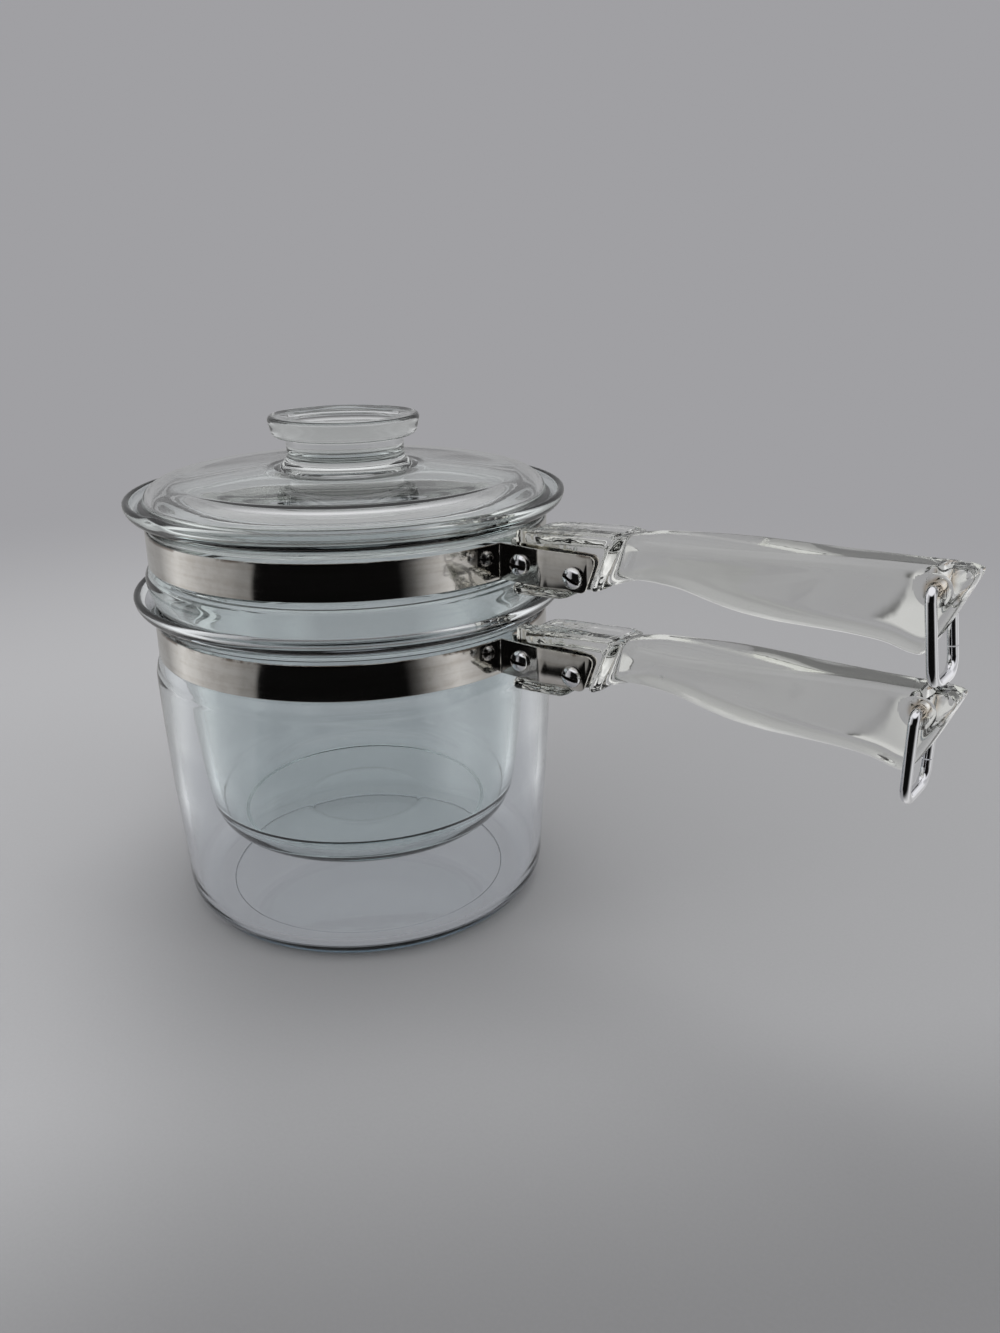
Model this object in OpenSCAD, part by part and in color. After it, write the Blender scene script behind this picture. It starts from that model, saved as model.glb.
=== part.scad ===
// Glass double boiler: a lower pan, an upper pan that nests in it, and a lid with a moulded knob.
// Each pan has a steel band round its neck. The band's ends fold out into ears that grip a glass handle.
// Millimetres. Origin at the centre of the lower pan's foot, +Z up, +X along the handles.

/* [Pans] */
// Outer radius of the neck that the band grips
neck_r = 73.6; // [64:0.1:90]
// Thickness of the glass walls
wall = 3.4; // [2.6:0.1:3.8]
// Thickness of the glass in the rims
rim_wall = 2.5; // [2:0.1:3]
// How far the lip of a rim stands out from the neck
flare_w = 7.4; // [6.4:0.1:8.4]
// Height of the flared rim above the top of the band
flare_h = 9.6; // [8.5:0.1:12]
// How far the flare has opened where it starts to turn up, from 0 at the neck to 1 at the rim
flare_open = 0.96; // [0.84:0.02:1]

/* [Lower pan] */
// Height of the lower rim, at the widest point of the lip
lower_rim_z = 125.4; // [110:0.5:150]
// How far the belly stands out from the neck
belly_bulge = 2.5; // [1.5:0.1:4]
// Drop from the bottom of the neck to the belly
belly_drop = 12.2; // [8:0.1:20]
// How far the side draws in from the belly to the foot
foot_draw = 3.7; // [2:0.1:8]
// Radius of the rounded corner at the foot
lower_corner_r = 10; // [8:0.5:13]
// Thickness of the glass bases
base_t = 4.6; // [3.5:0.1:6]
// Width of the flat ring that the foot stands on
foot_ring_w = 6.4; // [4:0.1:12]
// Depth of the shallow hollow under the foot
foot_hollow_h = 0.8; // [0.4:0.1:1.2]

/* [Upper pan] */
// Height of the upper rim above the lower rim
rim_step = 34.1; // [31:0.1:40]
// How far the shoulder under the upper band stands out from the neck
shoulder_bulge = 2.4; // [1.4:0.1:3.4]
// Drop from the bottom of the upper neck to the shoulder
shoulder_drop = 4.5; // [3.6:0.1:5.4]
// Gap between the nested body and the inside of the lower neck
nest_gap = 3.6; // [2.8:0.1:6]
// How far the nested body draws in towards its bottom
body_taper = 5; // [3:0.1:8]
// Depth of the upper pan's underside below the lower rim
nest_depth = 94.8; // [80:0.5:106]
// Radius of the bottom corner of the upper pan
upper_corner_r = 13; // [10:0.5:15]
// Clearance between the two pans and under the lid
seat_gap = 0.3; // [0.2:0.05:0.5]

/* [Lid] */
// How far the lid's flange reaches out past the neck's radius
lid_reach = 2.4; // [1.6:0.1:3]
// How far the flange stands out from the lid's upright side
lid_step = 2.2; // [1.8:0.1:3.2]
// Thickness of the flange's edge
lid_edge_t = 1.8; // [1.4:0.1:2.2]
// Height of the lid's upright side above its flange
lid_side_h = 1.6; // [1:0.1:4]
// Radius of the round edge between the lid's side and its top
lid_round_r = 5; // [4:0.1:6]
// Rise of the lid's top from its round edge to the foot of the knob
lid_rise = 3.6; // [2:0.1:6]
// Thickness of the lid
lid_t = 3.4; // [2.8:0.1:4]
// Depth of the skirt that reaches down into the neck
lid_skirt_h = 6.5; // [5:0.1:8]
// Thickness of the skirt
skirt_t = 2.6; // [2:0.1:3.4]
// Clearance between the skirt and the neck
skirt_fit = 0.9; // [0.5:0.1:1.6]
// Radius of the knob's top
knob_r = 27.7; // [24:0.1:32]
// Radius of the knob's waist
knob_waist_r = 21.6; // [18:0.1:23]
// How far the knob spreads from its waist to its foot
knob_foot_w = 5; // [3:0.1:7]
// Height of the knob above the lid
knob_h = 18.8; // [16:0.1:24]
// Radius of the knob's rounded edge
knob_edge_r = 1.5; // [1:0.1:2]
// Depth of the dish in the knob's top
knob_dish = 1.8; // [0.8:0.1:3]

/* [Bands] */
// Width of the steel strip, measured up the pan
band_w = 12.7; // [11:0.1:14.2]
// Thickness of the strip
band_t = 0.8; // [0.6:0.1:1]
// Gap between the strip and the glass it grips
band_fit = 0.05; // [0.02:0.01:0.1]
// How far the neck runs past the strip, above and below
neck_over = 0.9; // [0.5:0.1:1.4]
// Half of the space between the ears where they leave the pan
ear_half_gap = 2.7; // [2.3:0.1:3.4]
// Distance from the neck to the bend in the ears
ear_bend = 17.6; // [15.5:0.1:20]
// Length of the ears, from the neck to their upper corner
ear_l = 38.4; // [34:0.1:43]
// How far the ears' cut end leans back towards the pan
ear_end_lean = 4.2; // [2:0.1:6]
// Spread of the ears before the bend, in degrees
ear_spread = 2.3; // [1:0.1:3]
// Closing of the ears after the bend, in degrees
ear_close = 2.6; // [1:0.1:3.4]
// Length over which the bend turns, to either side of its middle
bend_reach = 3; // [2:0.1:4]
// Radius of the ears' outer corners
ear_corner_r = 2.2; // [1:0.1:3]
// Inner radius of the fold where the strip turns out into the ears
fold_r = 0.9; // [0.5:0.1:1.4]

/* [Screws] */
// Diameter of the screws
screw_d = 4; // [3.5:0.1:4.5]
// Clearance between a screw and its hole, all round
screw_fit = 0.15; // [0.1:0.05:0.25]
// Diameter of the round screw heads
head_d = 7.3; // [6.6:0.1:8.2]
// Height of the round screw heads
head_h = 2.5; // [2:0.1:3]
// Width of the slot across the heads
slot_w = 1.1; // [0.8:0.1:1.4]
// Depth of the slot across the heads
slot_h = 1.2; // [0.8:0.1:1.5]
// Width of the nuts across their flats
nut_af = 7; // [6.2:0.1:8]
// Thickness of the nuts
nut_h = 3; // [2.4:0.1:3.4]
// Length of screw that stands out of the nut
screw_tail = 1.2; // [0.5:0.1:2]
// Distance from the neck to the clamp screws
clamp_screw_out = 9.2; // [8.4:0.1:10.4]
// Distance from the ears' upper corner back to the handle screws
handle_screw_back = 8.2; // [7.2:0.1:11]
// Drop of the handle screws below the middle of the band
handle_screw_drop = 1.4; // [0:0.1:1.8]

/* [Handles] */
// Length of the handles from the neck to the tip
handle_l = 152.8; // [135:0.5:172]
// Gap between the ears' ends and the nose where the grip starts
nose_gap = 0.8; // [0.5:0.1:3]
// Half the greatest width of the grip
grip_half_w = 12; // [10.5:0.1:13.5]
// Half the width of the handle's outer end
end_half_w = 6.8; // [6:0.1:7.8]
// Height of the handle's top above the band, at the pan end
plate_lift = 6.6; // [6:0.1:7.6]
// Rise of the handle's top from the pan end to the ring hole
handle_rise = 7.2; // [5:0.1:9]
// Depth of the grip at its thickest
grip_depth = 22; // [19:0.1:25]
// Depth of the grip at its waist
waist_depth = 14.2; // [12:0.1:16]
// Depth of the heel at the handle's outer end
heel_depth = 25.4; // [22:0.1:28.5]
// Depth of the tip of the handle
tip_depth = 2.6; // [2:0.1:4]
// Slant of the cut outer end, from the tip back to the heel
end_slant = 11.4; // [8:0.1:13]
// Thickness of the plate over the ears
plate_t = 4.2; // [3.4:0.1:4.8]
// Half the width of the plate over the ears
plate_half_w = 10.2; // [9:0.1:11.5]
// Radius of the plate's corners at the pan end
plate_corner_r = 4; // [2:0.1:6]
// Distance from the neck to the pan end of the plate
plate_start = 12.4; // [10:0.1:14]
// Distance from the neck to the pan end of the glass between the ears
web_start = 6.6; // [6:0.1:6.8]
// Clearance between the ears and the glass between them
web_fit = 0.06; // [0.04:0.01:0.2]
// Thickness of the foot under the ears
lug_t = 3; // [2.4:0.1:3.6]
// Half the width of the foot under the ears
lug_half_w = 6.4; // [5:0.1:7.5]
// Radius of the corners of the foot under the ears
lug_corner_r = 3; // [1:0.1:4]
// Gap between the ears and the foot under them
lug_gap = 0.5; // [0.2:0.1:1]

/* [Rings] */
// Diameter of the ring's wire
wire_d = 3.1; // [2.6:0.1:3.5]
// Clearance between the wire and its hole, all round
wire_fit = 0.3; // [0.25:0.05:0.4]
// Distance from the tip of the handle back to the ring hole
ring_hole_back = 9.2; // [8.2:0.1:10.5]
// Drop of the ring hole below the handle's top
ring_hole_drop = 6.1; // [5.6:0.1:7.5]
// Diameter of the dished recess round the hole
recess_d = 10.4; // [9:0.1:11.6]
// Diameter of the flat floor in the recess
recess_floor_d = 7.8; // [6:0.1:8.6]
// Depth of the recess
recess_h = 1; // [0.6:0.1:1.3]
// Gap between a leg of the ring and the side of the handle
ring_play = 0.65; // [0.4:0.05:2]
// Gap between the upper ring, hanging straight down, and the lower handle under it
ring_clear = 0.35; // [0.3:0.05:3]
// Radius of the ring's lower corners
ring_corner_r = 5; // [3:0.1:6]
// Radius of the ring's upper corners
ring_top_r = 2.6; // [2:0.1:3.4]
// Gap where the two ends of the wire meet
ring_joint = 0.35; // [0.2:0.05:0.6]
// Turn of the upper ring from straight down, away from the pan, in degrees
upper_ring_angle = 8; // [0:1:40]
// Turn of the lower ring from straight down, away from the pan, in degrees
lower_ring_angle = 0; // [0:1:40]

/* [Hidden] */
$fn = 96;
eps = 0.01;
through = 60;

upper_rim_z = lower_rim_z + rim_step;
rim_r = neck_r + flare_w;
band_in = neck_r + band_fit;
band_out = band_in + band_t;
// Top and bottom of a band, from its own rim's widest point
band_top = -flare_h;
band_bottom = band_top - band_w;
band_mid = (band_top + band_bottom) / 2;

glass_clear = [0.80, 0.86, 0.88, 0.45];
glass_handle = [0.84, 0.88, 0.84, 0.60];
steel = [0.62, 0.60, 0.57];
chrome = [0.80, 0.80, 0.82];

// Curves

function arc(c, r, a0, a1, n) = [for (i = [0:n]) let (a = a0 + (a1 - a0) * i / n) c + r * [cos(a), sin(a)]];

// A smooth curve through the points of p, n steps from each point to the next
function spline(p, n) = let (m = len(p)) concat([for (i = [0:m - 2]) for (j = [0:n - 1]) let (
    t = j / n,
    a = p[max(i - 1, 0)], b = p[i], c = p[i + 1], d = p[min(i + 2, m - 1)])
    0.5 * (2 * b + (c - a) * t + (2 * a - 5 * b + 4 * c - d) * t * t
        + (3 * b - a - 3 * c + d) * t * t * t)], [p[m - 1]]);

// The curve p moved sideways by d, to the left of its direction
function beside(p, d) = [for (i = [0:len(p) - 1]) let (
    v = p[min(i + 1, len(p) - 1)] - p[max(i - 1, 0)], u = v / norm(v))
    p[i] + d * [-u[1], u[0]]];

function flip(p) = [for (i = [len(p) - 1:-1:0]) p[i]];

// Rims: the neck opens into a flare, which turns up again into a rounded lip

function bezier(a, b, c, d, n) = [for (i = [0:n]) let (t = i / n, u = 1 - t)
    u * u * u * a + 3 * u * u * t * b + 3 * u * t * t * c + t * t * t * d];

lip_r = rim_wall / 2;

// Outside of the flare, from the neck up to the lip, for a rim at height z
function flare_out(z) = let (
    open_r = neck_r + (rim_r - neck_r) * flare_open,
    foot_z = z - flare_h + neck_over)
    bezier([neck_r, foot_z], [neck_r + 0.6, foot_z + flare_h * 0.36],
        [open_r, z - flare_h * 0.56], [rim_r, z], 14);

// The lip's round edge, over the top from the outside to the inside
function lip(z) = arc([rim_r - lip_r, z], lip_r, 10, 170, 10);

// Inside of the flare, from the lip down to the neck, where the wall grows to its full thickness
function flare_in(z) = let (p = flare_out(z), m = len(p) - 1, a = beside(p, rim_wall), b = beside(p, wall))
    [for (i = [m - 1:-1:0]) let (t = min(1, i / m * 1.6)) a[i] * t + b[i] * (1 - t)];

// Height of a rim's inner ledge at radius r, for a rim at height z
function ledge_z(r, z) = lookup(r, [for (q = flare_in(z)) if (q[1] < z - 0.6) q]);

// The lower pan, from its foot up to its rim

lower_neck_z = lower_rim_z + band_bottom - neck_over;
belly_r = neck_r + belly_bulge;
belly_z = lower_neck_z - belly_drop;
foot_side_r = belly_r - foot_draw;
foot_hollow_r = foot_side_r - lower_corner_r - foot_ring_w;

function lower_side() = spline([
    [foot_side_r, lower_corner_r * 0.95],
    [foot_side_r + foot_draw * 0.34, belly_z * 0.36],
    [foot_side_r + foot_draw * 0.74, belly_z * 0.66],
    [belly_r, belly_z],
    [belly_r - belly_bulge * 0.12, belly_z + belly_drop * 0.62],
    [neck_r, lower_neck_z]], 6);

function lower_profile() = let (
    corner = [foot_side_r - lower_corner_r, lower_corner_r],
    r_in = lower_corner_r - wall,
    corner_in = [corner[0], base_t + r_in])
    concat(
        [[0, foot_hollow_h], [foot_hollow_r - foot_hollow_h, foot_hollow_h], [foot_hollow_r, 0]],
        arc(corner, lower_corner_r, -90, -8, 10),
        lower_side(), flare_out(lower_rim_z), lip(lower_rim_z), flare_in(lower_rim_z),
        flip([for (q = beside(lower_side(), wall)) if (q[1] > corner_in[1]) q]),
        flip(arc(corner_in, r_in, -90, -8, 8)),
        [[0, base_t]]);

module lower_pan() {
    color(glass_clear) rotate_extrude() polygon(lower_profile());
}

// The upper pan, from its bottom up through the seat on the lower rim to its own rim

upper_neck_z = upper_rim_z + band_bottom - neck_over;
shoulder_r = neck_r + shoulder_bulge;
shoulder_z = upper_neck_z - shoulder_drop;
seat_r = neck_r - wall * 0.35;
seat_z = ledge_z(seat_r, lower_rim_z) + seat_gap * 2.2;
seat_turn = flare_h * 0.56;
body_top_r = neck_r - wall - nest_gap;
body_low_r = body_top_r - body_taper;
body_top_z = lower_rim_z + band_mid;
upper_bottom_z = lower_rim_z - nest_depth;
body_h = body_top_z - upper_bottom_z;
corner_draw = upper_corner_r * 0.085;

function upper_side() = spline([
    [body_low_r - corner_draw * 0.64, upper_bottom_z + upper_corner_r * 0.9],
    [body_low_r + body_taper * 0.2, upper_bottom_z + body_h * 0.3],
    [body_low_r + body_taper * 0.72, upper_bottom_z + body_h * 0.66],
    [body_top_r, body_top_z],
    [body_top_r + (seat_r - body_top_r) * 0.1, seat_z - seat_turn],
    [seat_r, seat_z],
    [(seat_r + shoulder_r) / 2 + shoulder_bulge * 0.25, (seat_z + shoulder_z) / 2 - shoulder_drop * 0.1],
    [shoulder_r, shoulder_z],
    [shoulder_r - shoulder_bulge * 0.3, upper_neck_z - shoulder_drop * 0.38],
    [neck_r, upper_neck_z]], 6);

function upper_profile() = let (
    corner = [body_low_r - corner_draw - upper_corner_r, upper_bottom_z + upper_corner_r],
    r_in = upper_corner_r - wall,
    corner_in = [corner[0], upper_bottom_z + base_t + r_in])
    concat(
        [[0, upper_bottom_z]],
        arc(corner, upper_corner_r, -90, -14, 10),
        upper_side(), flare_out(upper_rim_z), lip(upper_rim_z), flare_in(upper_rim_z),
        flip([for (q = beside(upper_side(), wall)) if (q[1] > corner_in[1] - r_in * 0.2) q]),
        flip(arc(corner_in, r_in, -90, -14, 8)),
        [[0, upper_bottom_z + base_t]]);

module upper_pan() {
    color(glass_clear) rotate_extrude() polygon(upper_profile());
}

// The lid: a skirt inside the neck, a flange on the rim's ledge, a low dome and the knob

lid_flange_r = neck_r + lid_reach;
lid_side_r = lid_flange_r - lid_step;
lid_ledge_z = ledge_z(lid_flange_r - lid_edge_t / 2, upper_rim_z);
lid_flange_z = lid_ledge_z + seat_gap + 0.2;
lid_side_top_z = lid_flange_z + lid_edge_t + lid_side_h;
lid_top_z = lid_side_top_z + lid_round_r + lid_rise;
skirt_r = neck_r - wall - skirt_fit;
knob_top_z = lid_top_z + knob_h;
knob_foot_r = knob_waist_r + knob_foot_w;

function dome_out() = let (round_c = [lid_side_r - lid_round_r, lid_side_top_z])
    concat(
        arc(round_c, lid_round_r, 0, 76, 8),
        [for (i = [1:8]) let (t = i / 8, r = round_c[0] + (knob_foot_r - round_c[0]) * t)
            [r, lid_side_top_z + lid_round_r + lid_rise * (1 - pow(1 - t, 1.7))]]);

function knob_outer() = concat(
    bezier([knob_foot_r - 0.3, lid_top_z + 0.1], [knob_waist_r + 1.4, lid_top_z + 0.6],
        [knob_waist_r - 0.2, lid_top_z + knob_h * 0.24], [knob_waist_r, lid_top_z + knob_h * 0.38], 6),
    bezier([knob_waist_r + 0.1, lid_top_z + knob_h * 0.5], [knob_waist_r + 0.7, lid_top_z + knob_h * 0.66],
        [knob_r - 1, lid_top_z + knob_h * 0.62], [knob_r - 0.2, knob_top_z - knob_edge_r * 1.8], 6),
    arc([knob_r - knob_edge_r, knob_top_z - knob_edge_r], knob_edge_r, 0, 110, 6));

// The dish in the knob's top, from its edge to the middle
function knob_dish_curve() = [for (i = [1:8]) let (t = i / 8, r = (knob_r - knob_edge_r * 1.6) * (1 - t))
    [r, knob_top_z - 0.2 - knob_dish * sin(90 * t) * (1 - 0.25 * t)]];

function lid_under() = let (r_in = max(lid_round_r - lid_t, 1), side_in = lid_side_r - lid_t,
        round_c = [side_in - r_in, lid_side_top_z + lid_round_r - lid_t - r_in])
    concat(
        [[0, lid_top_z - lid_t + 1.2], [knob_waist_r * 0.5, lid_top_z - lid_t + 1.1],
            [knob_waist_r, lid_top_z - lid_t + 0.5]],
        [for (i = [7:-1:1]) let (t = i / 8, r = round_c[0] + (knob_foot_r - round_c[0]) * t)
            [r, lid_side_top_z + lid_round_r - lid_t + lid_rise * (1 - pow(1 - t, 1.7))]],
        flip(arc(round_c, r_in, 0, 76, 6)),
        [[side_in, lid_flange_z + lid_edge_t + 1], [side_in - 0.8, lid_flange_z + 0.8],
            [skirt_r - skirt_t, lid_flange_z - 1.6],
            [skirt_r - skirt_t, lid_flange_z - lid_skirt_h + 1],
            [skirt_r - skirt_t / 2, lid_flange_z - lid_skirt_h]]);

function lid_profile() = concat(
    lid_under(),
    [[skirt_r - 0.3, lid_flange_z - lid_skirt_h + 0.6], [skirt_r, lid_flange_z - lid_skirt_h + 2],
        [skirt_r, lid_ledge_z - 3.4], [skirt_r + 1.4, lid_ledge_z - 1.2],
        [lid_flange_r - 2.4, lid_flange_z - 0.1]],
    arc([lid_flange_r - lid_edge_t / 2, lid_flange_z + lid_edge_t / 2], lid_edge_t / 2, -90, 80, 8),
    [[lid_side_r + 0.3, lid_flange_z + lid_edge_t + 0.3]],
    dome_out(), knob_outer(), knob_dish_curve());

module lid() {
    color(glass_clear) rotate_extrude() polygon(lid_profile());
}

// The bands: a strip round the neck whose ends fold out into two ears beside the handle

ear_out = ear_half_gap + band_t;
fold_c = let (y = ear_out + fold_r) [sqrt(pow(band_out + fold_r, 2) - y * y), -y];
ear_bend_x = neck_r + ear_bend;
ear_end_x = neck_r + ear_l;

// Distance from the handle's middle plane to the inner face of an ear, at x
function ear_y(x) = let (
    out = ear_half_gap + (x - fold_c[0]) * tan(ear_spread),
    back = ear_half_gap + (ear_bend_x - fold_c[0]) * tan(ear_spread) - (x - ear_bend_x) * tan(ear_close),
    t = min(1, max(0, (x - ear_bend_x + bend_reach) / (2 * bend_reach))), w = t * t * (3 - 2 * t))
    out * (1 - w) + back * w;

ear_x = concat([fold_c[0]], [for (i = [-3:3]) ear_bend_x + bend_reach * i / 3], [ear_end_x + 1]);

// Points that round the corner b of the line a, b, c with radius r
function round_corner(a, b, c, r, n) = let (
    u = (a - b) / norm(a - b), v = (c - b) / norm(c - b),
    half = acos(u * v) / 2, m = (u + v) / norm(u + v), o = b + m * r / sin(half),
    from = b + u * r / tan(half) - o, to = b + v * r / tan(half) - o,
    f = atan2(from[1], from[0]), d = atan2(to[1], to[0]) - f,
    turn = d > 180 ? d - 360 : d < -180 ? d + 360 : d)
    arc(o, r, f, f + turn, n);

module ear_plan() {
    polygon(concat([for (x = ear_x) [x, -ear_y(x)]], flip([for (x = ear_x) [x, -ear_y(x) - band_t]])));
    intersection() {
        translate(fold_c) difference() {
            circle(r = fold_r + band_t);
            circle(r = fold_r);
        }
        polygon([fold_c, [fold_c[0], 0], fold_c + [-9, 9], fold_c * (1 - 9 / norm(fold_c))]);
    }
}

module strip_plan() {
    difference() {
        circle(r = band_out, $fn = 180);
        circle(r = band_in, $fn = 180);
        polygon([[0, 0], fold_c * 1.2, [fold_c[0] * 1.2, -fold_c[1] * 1.2]]);
    }
}

// Side view of the ears, with the slanted end and its rounded corners
function ear_side() = let (
    a = [band_in, band_top], b = [ear_end_x, band_top],
    c = [ear_end_x - ear_end_lean, band_bottom], d = [band_in, band_bottom])
    concat([d, a], round_corner(a, b, c, ear_corner_r, 6), round_corner(b, c, d, ear_corner_r, 6));

screw_z = [band_mid, band_mid - handle_screw_drop];
screw_x = [neck_r + clamp_screw_out, ear_end_x - handle_screw_back];

// Something turned so that its Z runs along Y, towards the camera side of the handle
module across(x, z) {
    translate([x, 0, z]) rotate([90, 0, 0]) children();
}

module screw_holes() {
    for (i = [0, 1]) across(screw_x[i], screw_z[i])
        cylinder(h = through, d = screw_d + 2 * screw_fit, center = true, $fn = 32);
}

module band() {
    translate([0, 0, band_bottom]) linear_extrude(band_w) strip_plan();
    difference() {
        intersection() {
            translate([0, 0, band_bottom]) linear_extrude(band_w) {
                ear_plan();
                mirror([0, 1]) ear_plan();
            }
            across(0, 0) linear_extrude(through, center = true) polygon(ear_side());
        }
        screw_holes();
    }
}

module lower_band() { color(steel) translate([0, 0, lower_rim_z]) band(); }
module upper_band() { color(steel) translate([0, 0, upper_rim_z]) band(); }

// The screws and nuts

// Gap under a screw's head or nut, its straight edge, and the thread's play in the nut
bearing_gap = 0.02;
head_edge = 0.4;
thread_fit = 0.04;

// Where a screw's head or nut bears on the ear, clear of the ear's slant
function bearing_y(x, half) = max(ear_y(x - half), ear_y(x + half), ear_y(x)) + band_t + bearing_gap;

module slotted_screw(i, slot_turn) {
    y = bearing_y(screw_x[i], head_d / 2);
    tail = bearing_y(screw_x[i], nut_af / 2) + nut_h + screw_tail;
    crown = [for (q = arc([0, 0], 1, 0, 90, 10))
        [q[0] * head_d / 2, head_edge + q[1] * (head_h - head_edge)]];
    across(screw_x[i], screw_z[i]) difference() {
        union() {
            translate([0, 0, -tail]) cylinder(h = y + tail + head_edge, d = screw_d, $fn = 32);
            translate([0, 0, y]) rotate_extrude($fn = 48) polygon(concat([[0, 0], [head_d / 2, 0]], crown));
        }
        rotate([0, 0, slot_turn]) translate([-head_d, -slot_w / 2, y + head_h - slot_h])
            cube([2 * head_d, slot_w, 2 * slot_h]);
    }
}

module nut(i) {
    x = screw_x[i];
    across(x, screw_z[i]) translate([0, 0, -bearing_y(x, nut_af / 2) - nut_h]) difference() {
        cylinder(h = nut_h, d = nut_af / cos(30), $fn = 6);
        translate([0, 0, -eps]) cylinder(h = nut_h + 2 * eps, d = screw_d + 2 * thread_fit, $fn = 32);
    }
}

module lower_clamp_screw() { color(chrome) translate([0, 0, lower_rim_z]) slotted_screw(0, 4); }
module upper_clamp_screw() { color(chrome) translate([0, 0, upper_rim_z]) slotted_screw(0, -6); }
module lower_handle_screw() { color(chrome) translate([0, 0, lower_rim_z]) slotted_screw(1, -20); }
module upper_handle_screw() { color(chrome) translate([0, 0, upper_rim_z]) slotted_screw(1, -38); }
module lower_clamp_nut() { color(chrome) translate([0, 0, lower_rim_z]) nut(0); }
module upper_clamp_nut() { color(chrome) translate([0, 0, upper_rim_z]) nut(0); }
module lower_handle_nut() { color(chrome) translate([0, 0, lower_rim_z]) nut(1); }
module upper_handle_nut() { color(chrome) translate([0, 0, upper_rim_z]) nut(1); }

// The handles: a plate, a web and a foot that hold the ears, and a grip lofted along X

handle_tip_x = neck_r + handle_l;
handle_top_z = band_top + plate_lift;
grip_nose_x = ear_end_x + nose_gap;
plate_x = neck_r + plate_start;
web_x = neck_r + web_start;
hole_x = handle_tip_x - ring_hole_back;
hole_z = top_z(hole_x) - ring_hole_drop;
heel_x = handle_tip_x - end_slant;
grip_l = handle_tip_x - grip_nose_x;

function top_z(x) = handle_top_z + handle_rise * pow(max(0, (x - plate_x) / (hole_x - plate_x)), 0.72);

// One station of the grip: x, half width, top, bottom and slant of the sides in degrees
function grip_at(part, half, top, depth, slant) = let (x = grip_nose_x + grip_l * part)
    [x, half, top_z(x) - top, top_z(x) - depth, slant];
grip_stations = [
    grip_at(0, 3.4, plate_t + 1.5, waist_depth + 1.6, 2),
    grip_at(0.022, end_half_w + 0.8, 1.6, waist_depth + 3.2, 4),
    grip_at(0.065, plate_half_w - 0.4, 0, waist_depth + 2, 7),
    grip_at(0.16, plate_half_w + 0.2, 0, waist_depth, 11),
    grip_at(0.26, (plate_half_w + grip_half_w) / 2, 0, waist_depth + 1.2, 13),
    grip_at(0.36, grip_half_w - 0.1, 0, (waist_depth + grip_depth) / 2, 14),
    grip_at(0.44, grip_half_w - 0.1, 0, grip_depth - 1.8, 13),
    grip_at(0.53, grip_half_w - 1.3, 0, grip_depth - 0.4, 11),
    grip_at(0.62, (grip_half_w + end_half_w) / 2 - 0.2, 0, grip_depth, 9),
    grip_at(0.72, end_half_w + 1.1, 0, grip_depth + 0.3, 6),
    grip_at(0.81, end_half_w + 0.3, 0, (grip_depth + heel_depth) / 2 - 0.6, 3),
    grip_at(0.87, end_half_w, 0, heel_depth - 0.4, 2),
    [heel_x, end_half_w, top_z(heel_x), top_z(heel_x) - heel_depth, 2]];
function end_station(t) = let (x = heel_x + end_slant * t)
    [x, end_half_w - 0.9 * pow(t, 4), top_z(x) - 1.3 * pow(t, 6),
        top_z(x) - tip_depth - (heel_depth - tip_depth) * (1 - pow(t, 1.3)), 2];

// A closed section: round corners, flat top, sides that draw in downwards by the slant
function grip_ring(s, n) = let (
    h = s[2] - s[3], rt = min(3, s[1] * 0.6, h * 0.4), rb = min(7, s[1] * 0.62, h * 0.44),
    top = [s[1] - rt, s[2] - rt], side = [cos(s[4]), -sin(s[4])],
    low_z = s[3] + rb, low = [((top * side + rt) - rb - low_z * side[1]) / side[0], low_z],
    half = concat(arc(top, rt, 90, -s[4], n), arc([max(low[0], 0.2), low[1]], rb, -s[4], -90, n)))
    concat([for (q = half) [s[0], q[0], q[1]]], [for (q = flip(half)) [s[0], -q[0], q[1]]]);

module loft(rings) {
    m = len(rings[0]);
    n = len(rings);
    walls = [for (i = [0:n - 2]) for (j = [0:m - 1]) let (
        a = i * m + j, b = i * m + (j + 1) % m, c = a + m, d = b + m) each [[a, b, c], [b, d, c]]];
    polyhedron([for (r = rings) each r], concat([[for (j = [m - 1:-1:0]) j]], walls,
        [[for (j = [0:m - 1]) (n - 1) * m + j]]));
}

module grip() {
    loft([for (s = concat(spline(grip_stations, 2), [for (i = [1:6]) end_station(i / 6)])) grip_ring(s, 5)]);
}

// How far the web and the plate run on into the grip, and how much the plate draws in there
web_end_x = grip_nose_x + plate_half_w * 0.88;
plate_draw = plate_half_w * 0.05;
lug_top = band_bottom - lug_gap;
lug_end_x = screw_x[1] - screw_d * 0.1;

// The glass between the ears
module web() {
    xs = concat([web_x], [for (x = ear_x) if (x > web_x) x], [web_end_x]);
    side = [for (x = xs) [x, ear_y(x) - web_fit]];
    intersection() {
        translate([0, 0, lug_top - 1]) linear_extrude(40)
            polygon(concat(side, flip([for (q = side) [q[0], -q[1]]])));
        across(0, 0) linear_extrude(40, center = true) polygon([
            [web_x, lug_top - 1], [lug_end_x, lug_top - 1], [web_end_x, top_z(web_end_x) - waist_depth - 1],
            [web_end_x, top_z(web_end_x) - 2], [web_x, top_z(web_x) - 2 - handle_top_z * 0.2]]);
    }
}

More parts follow.
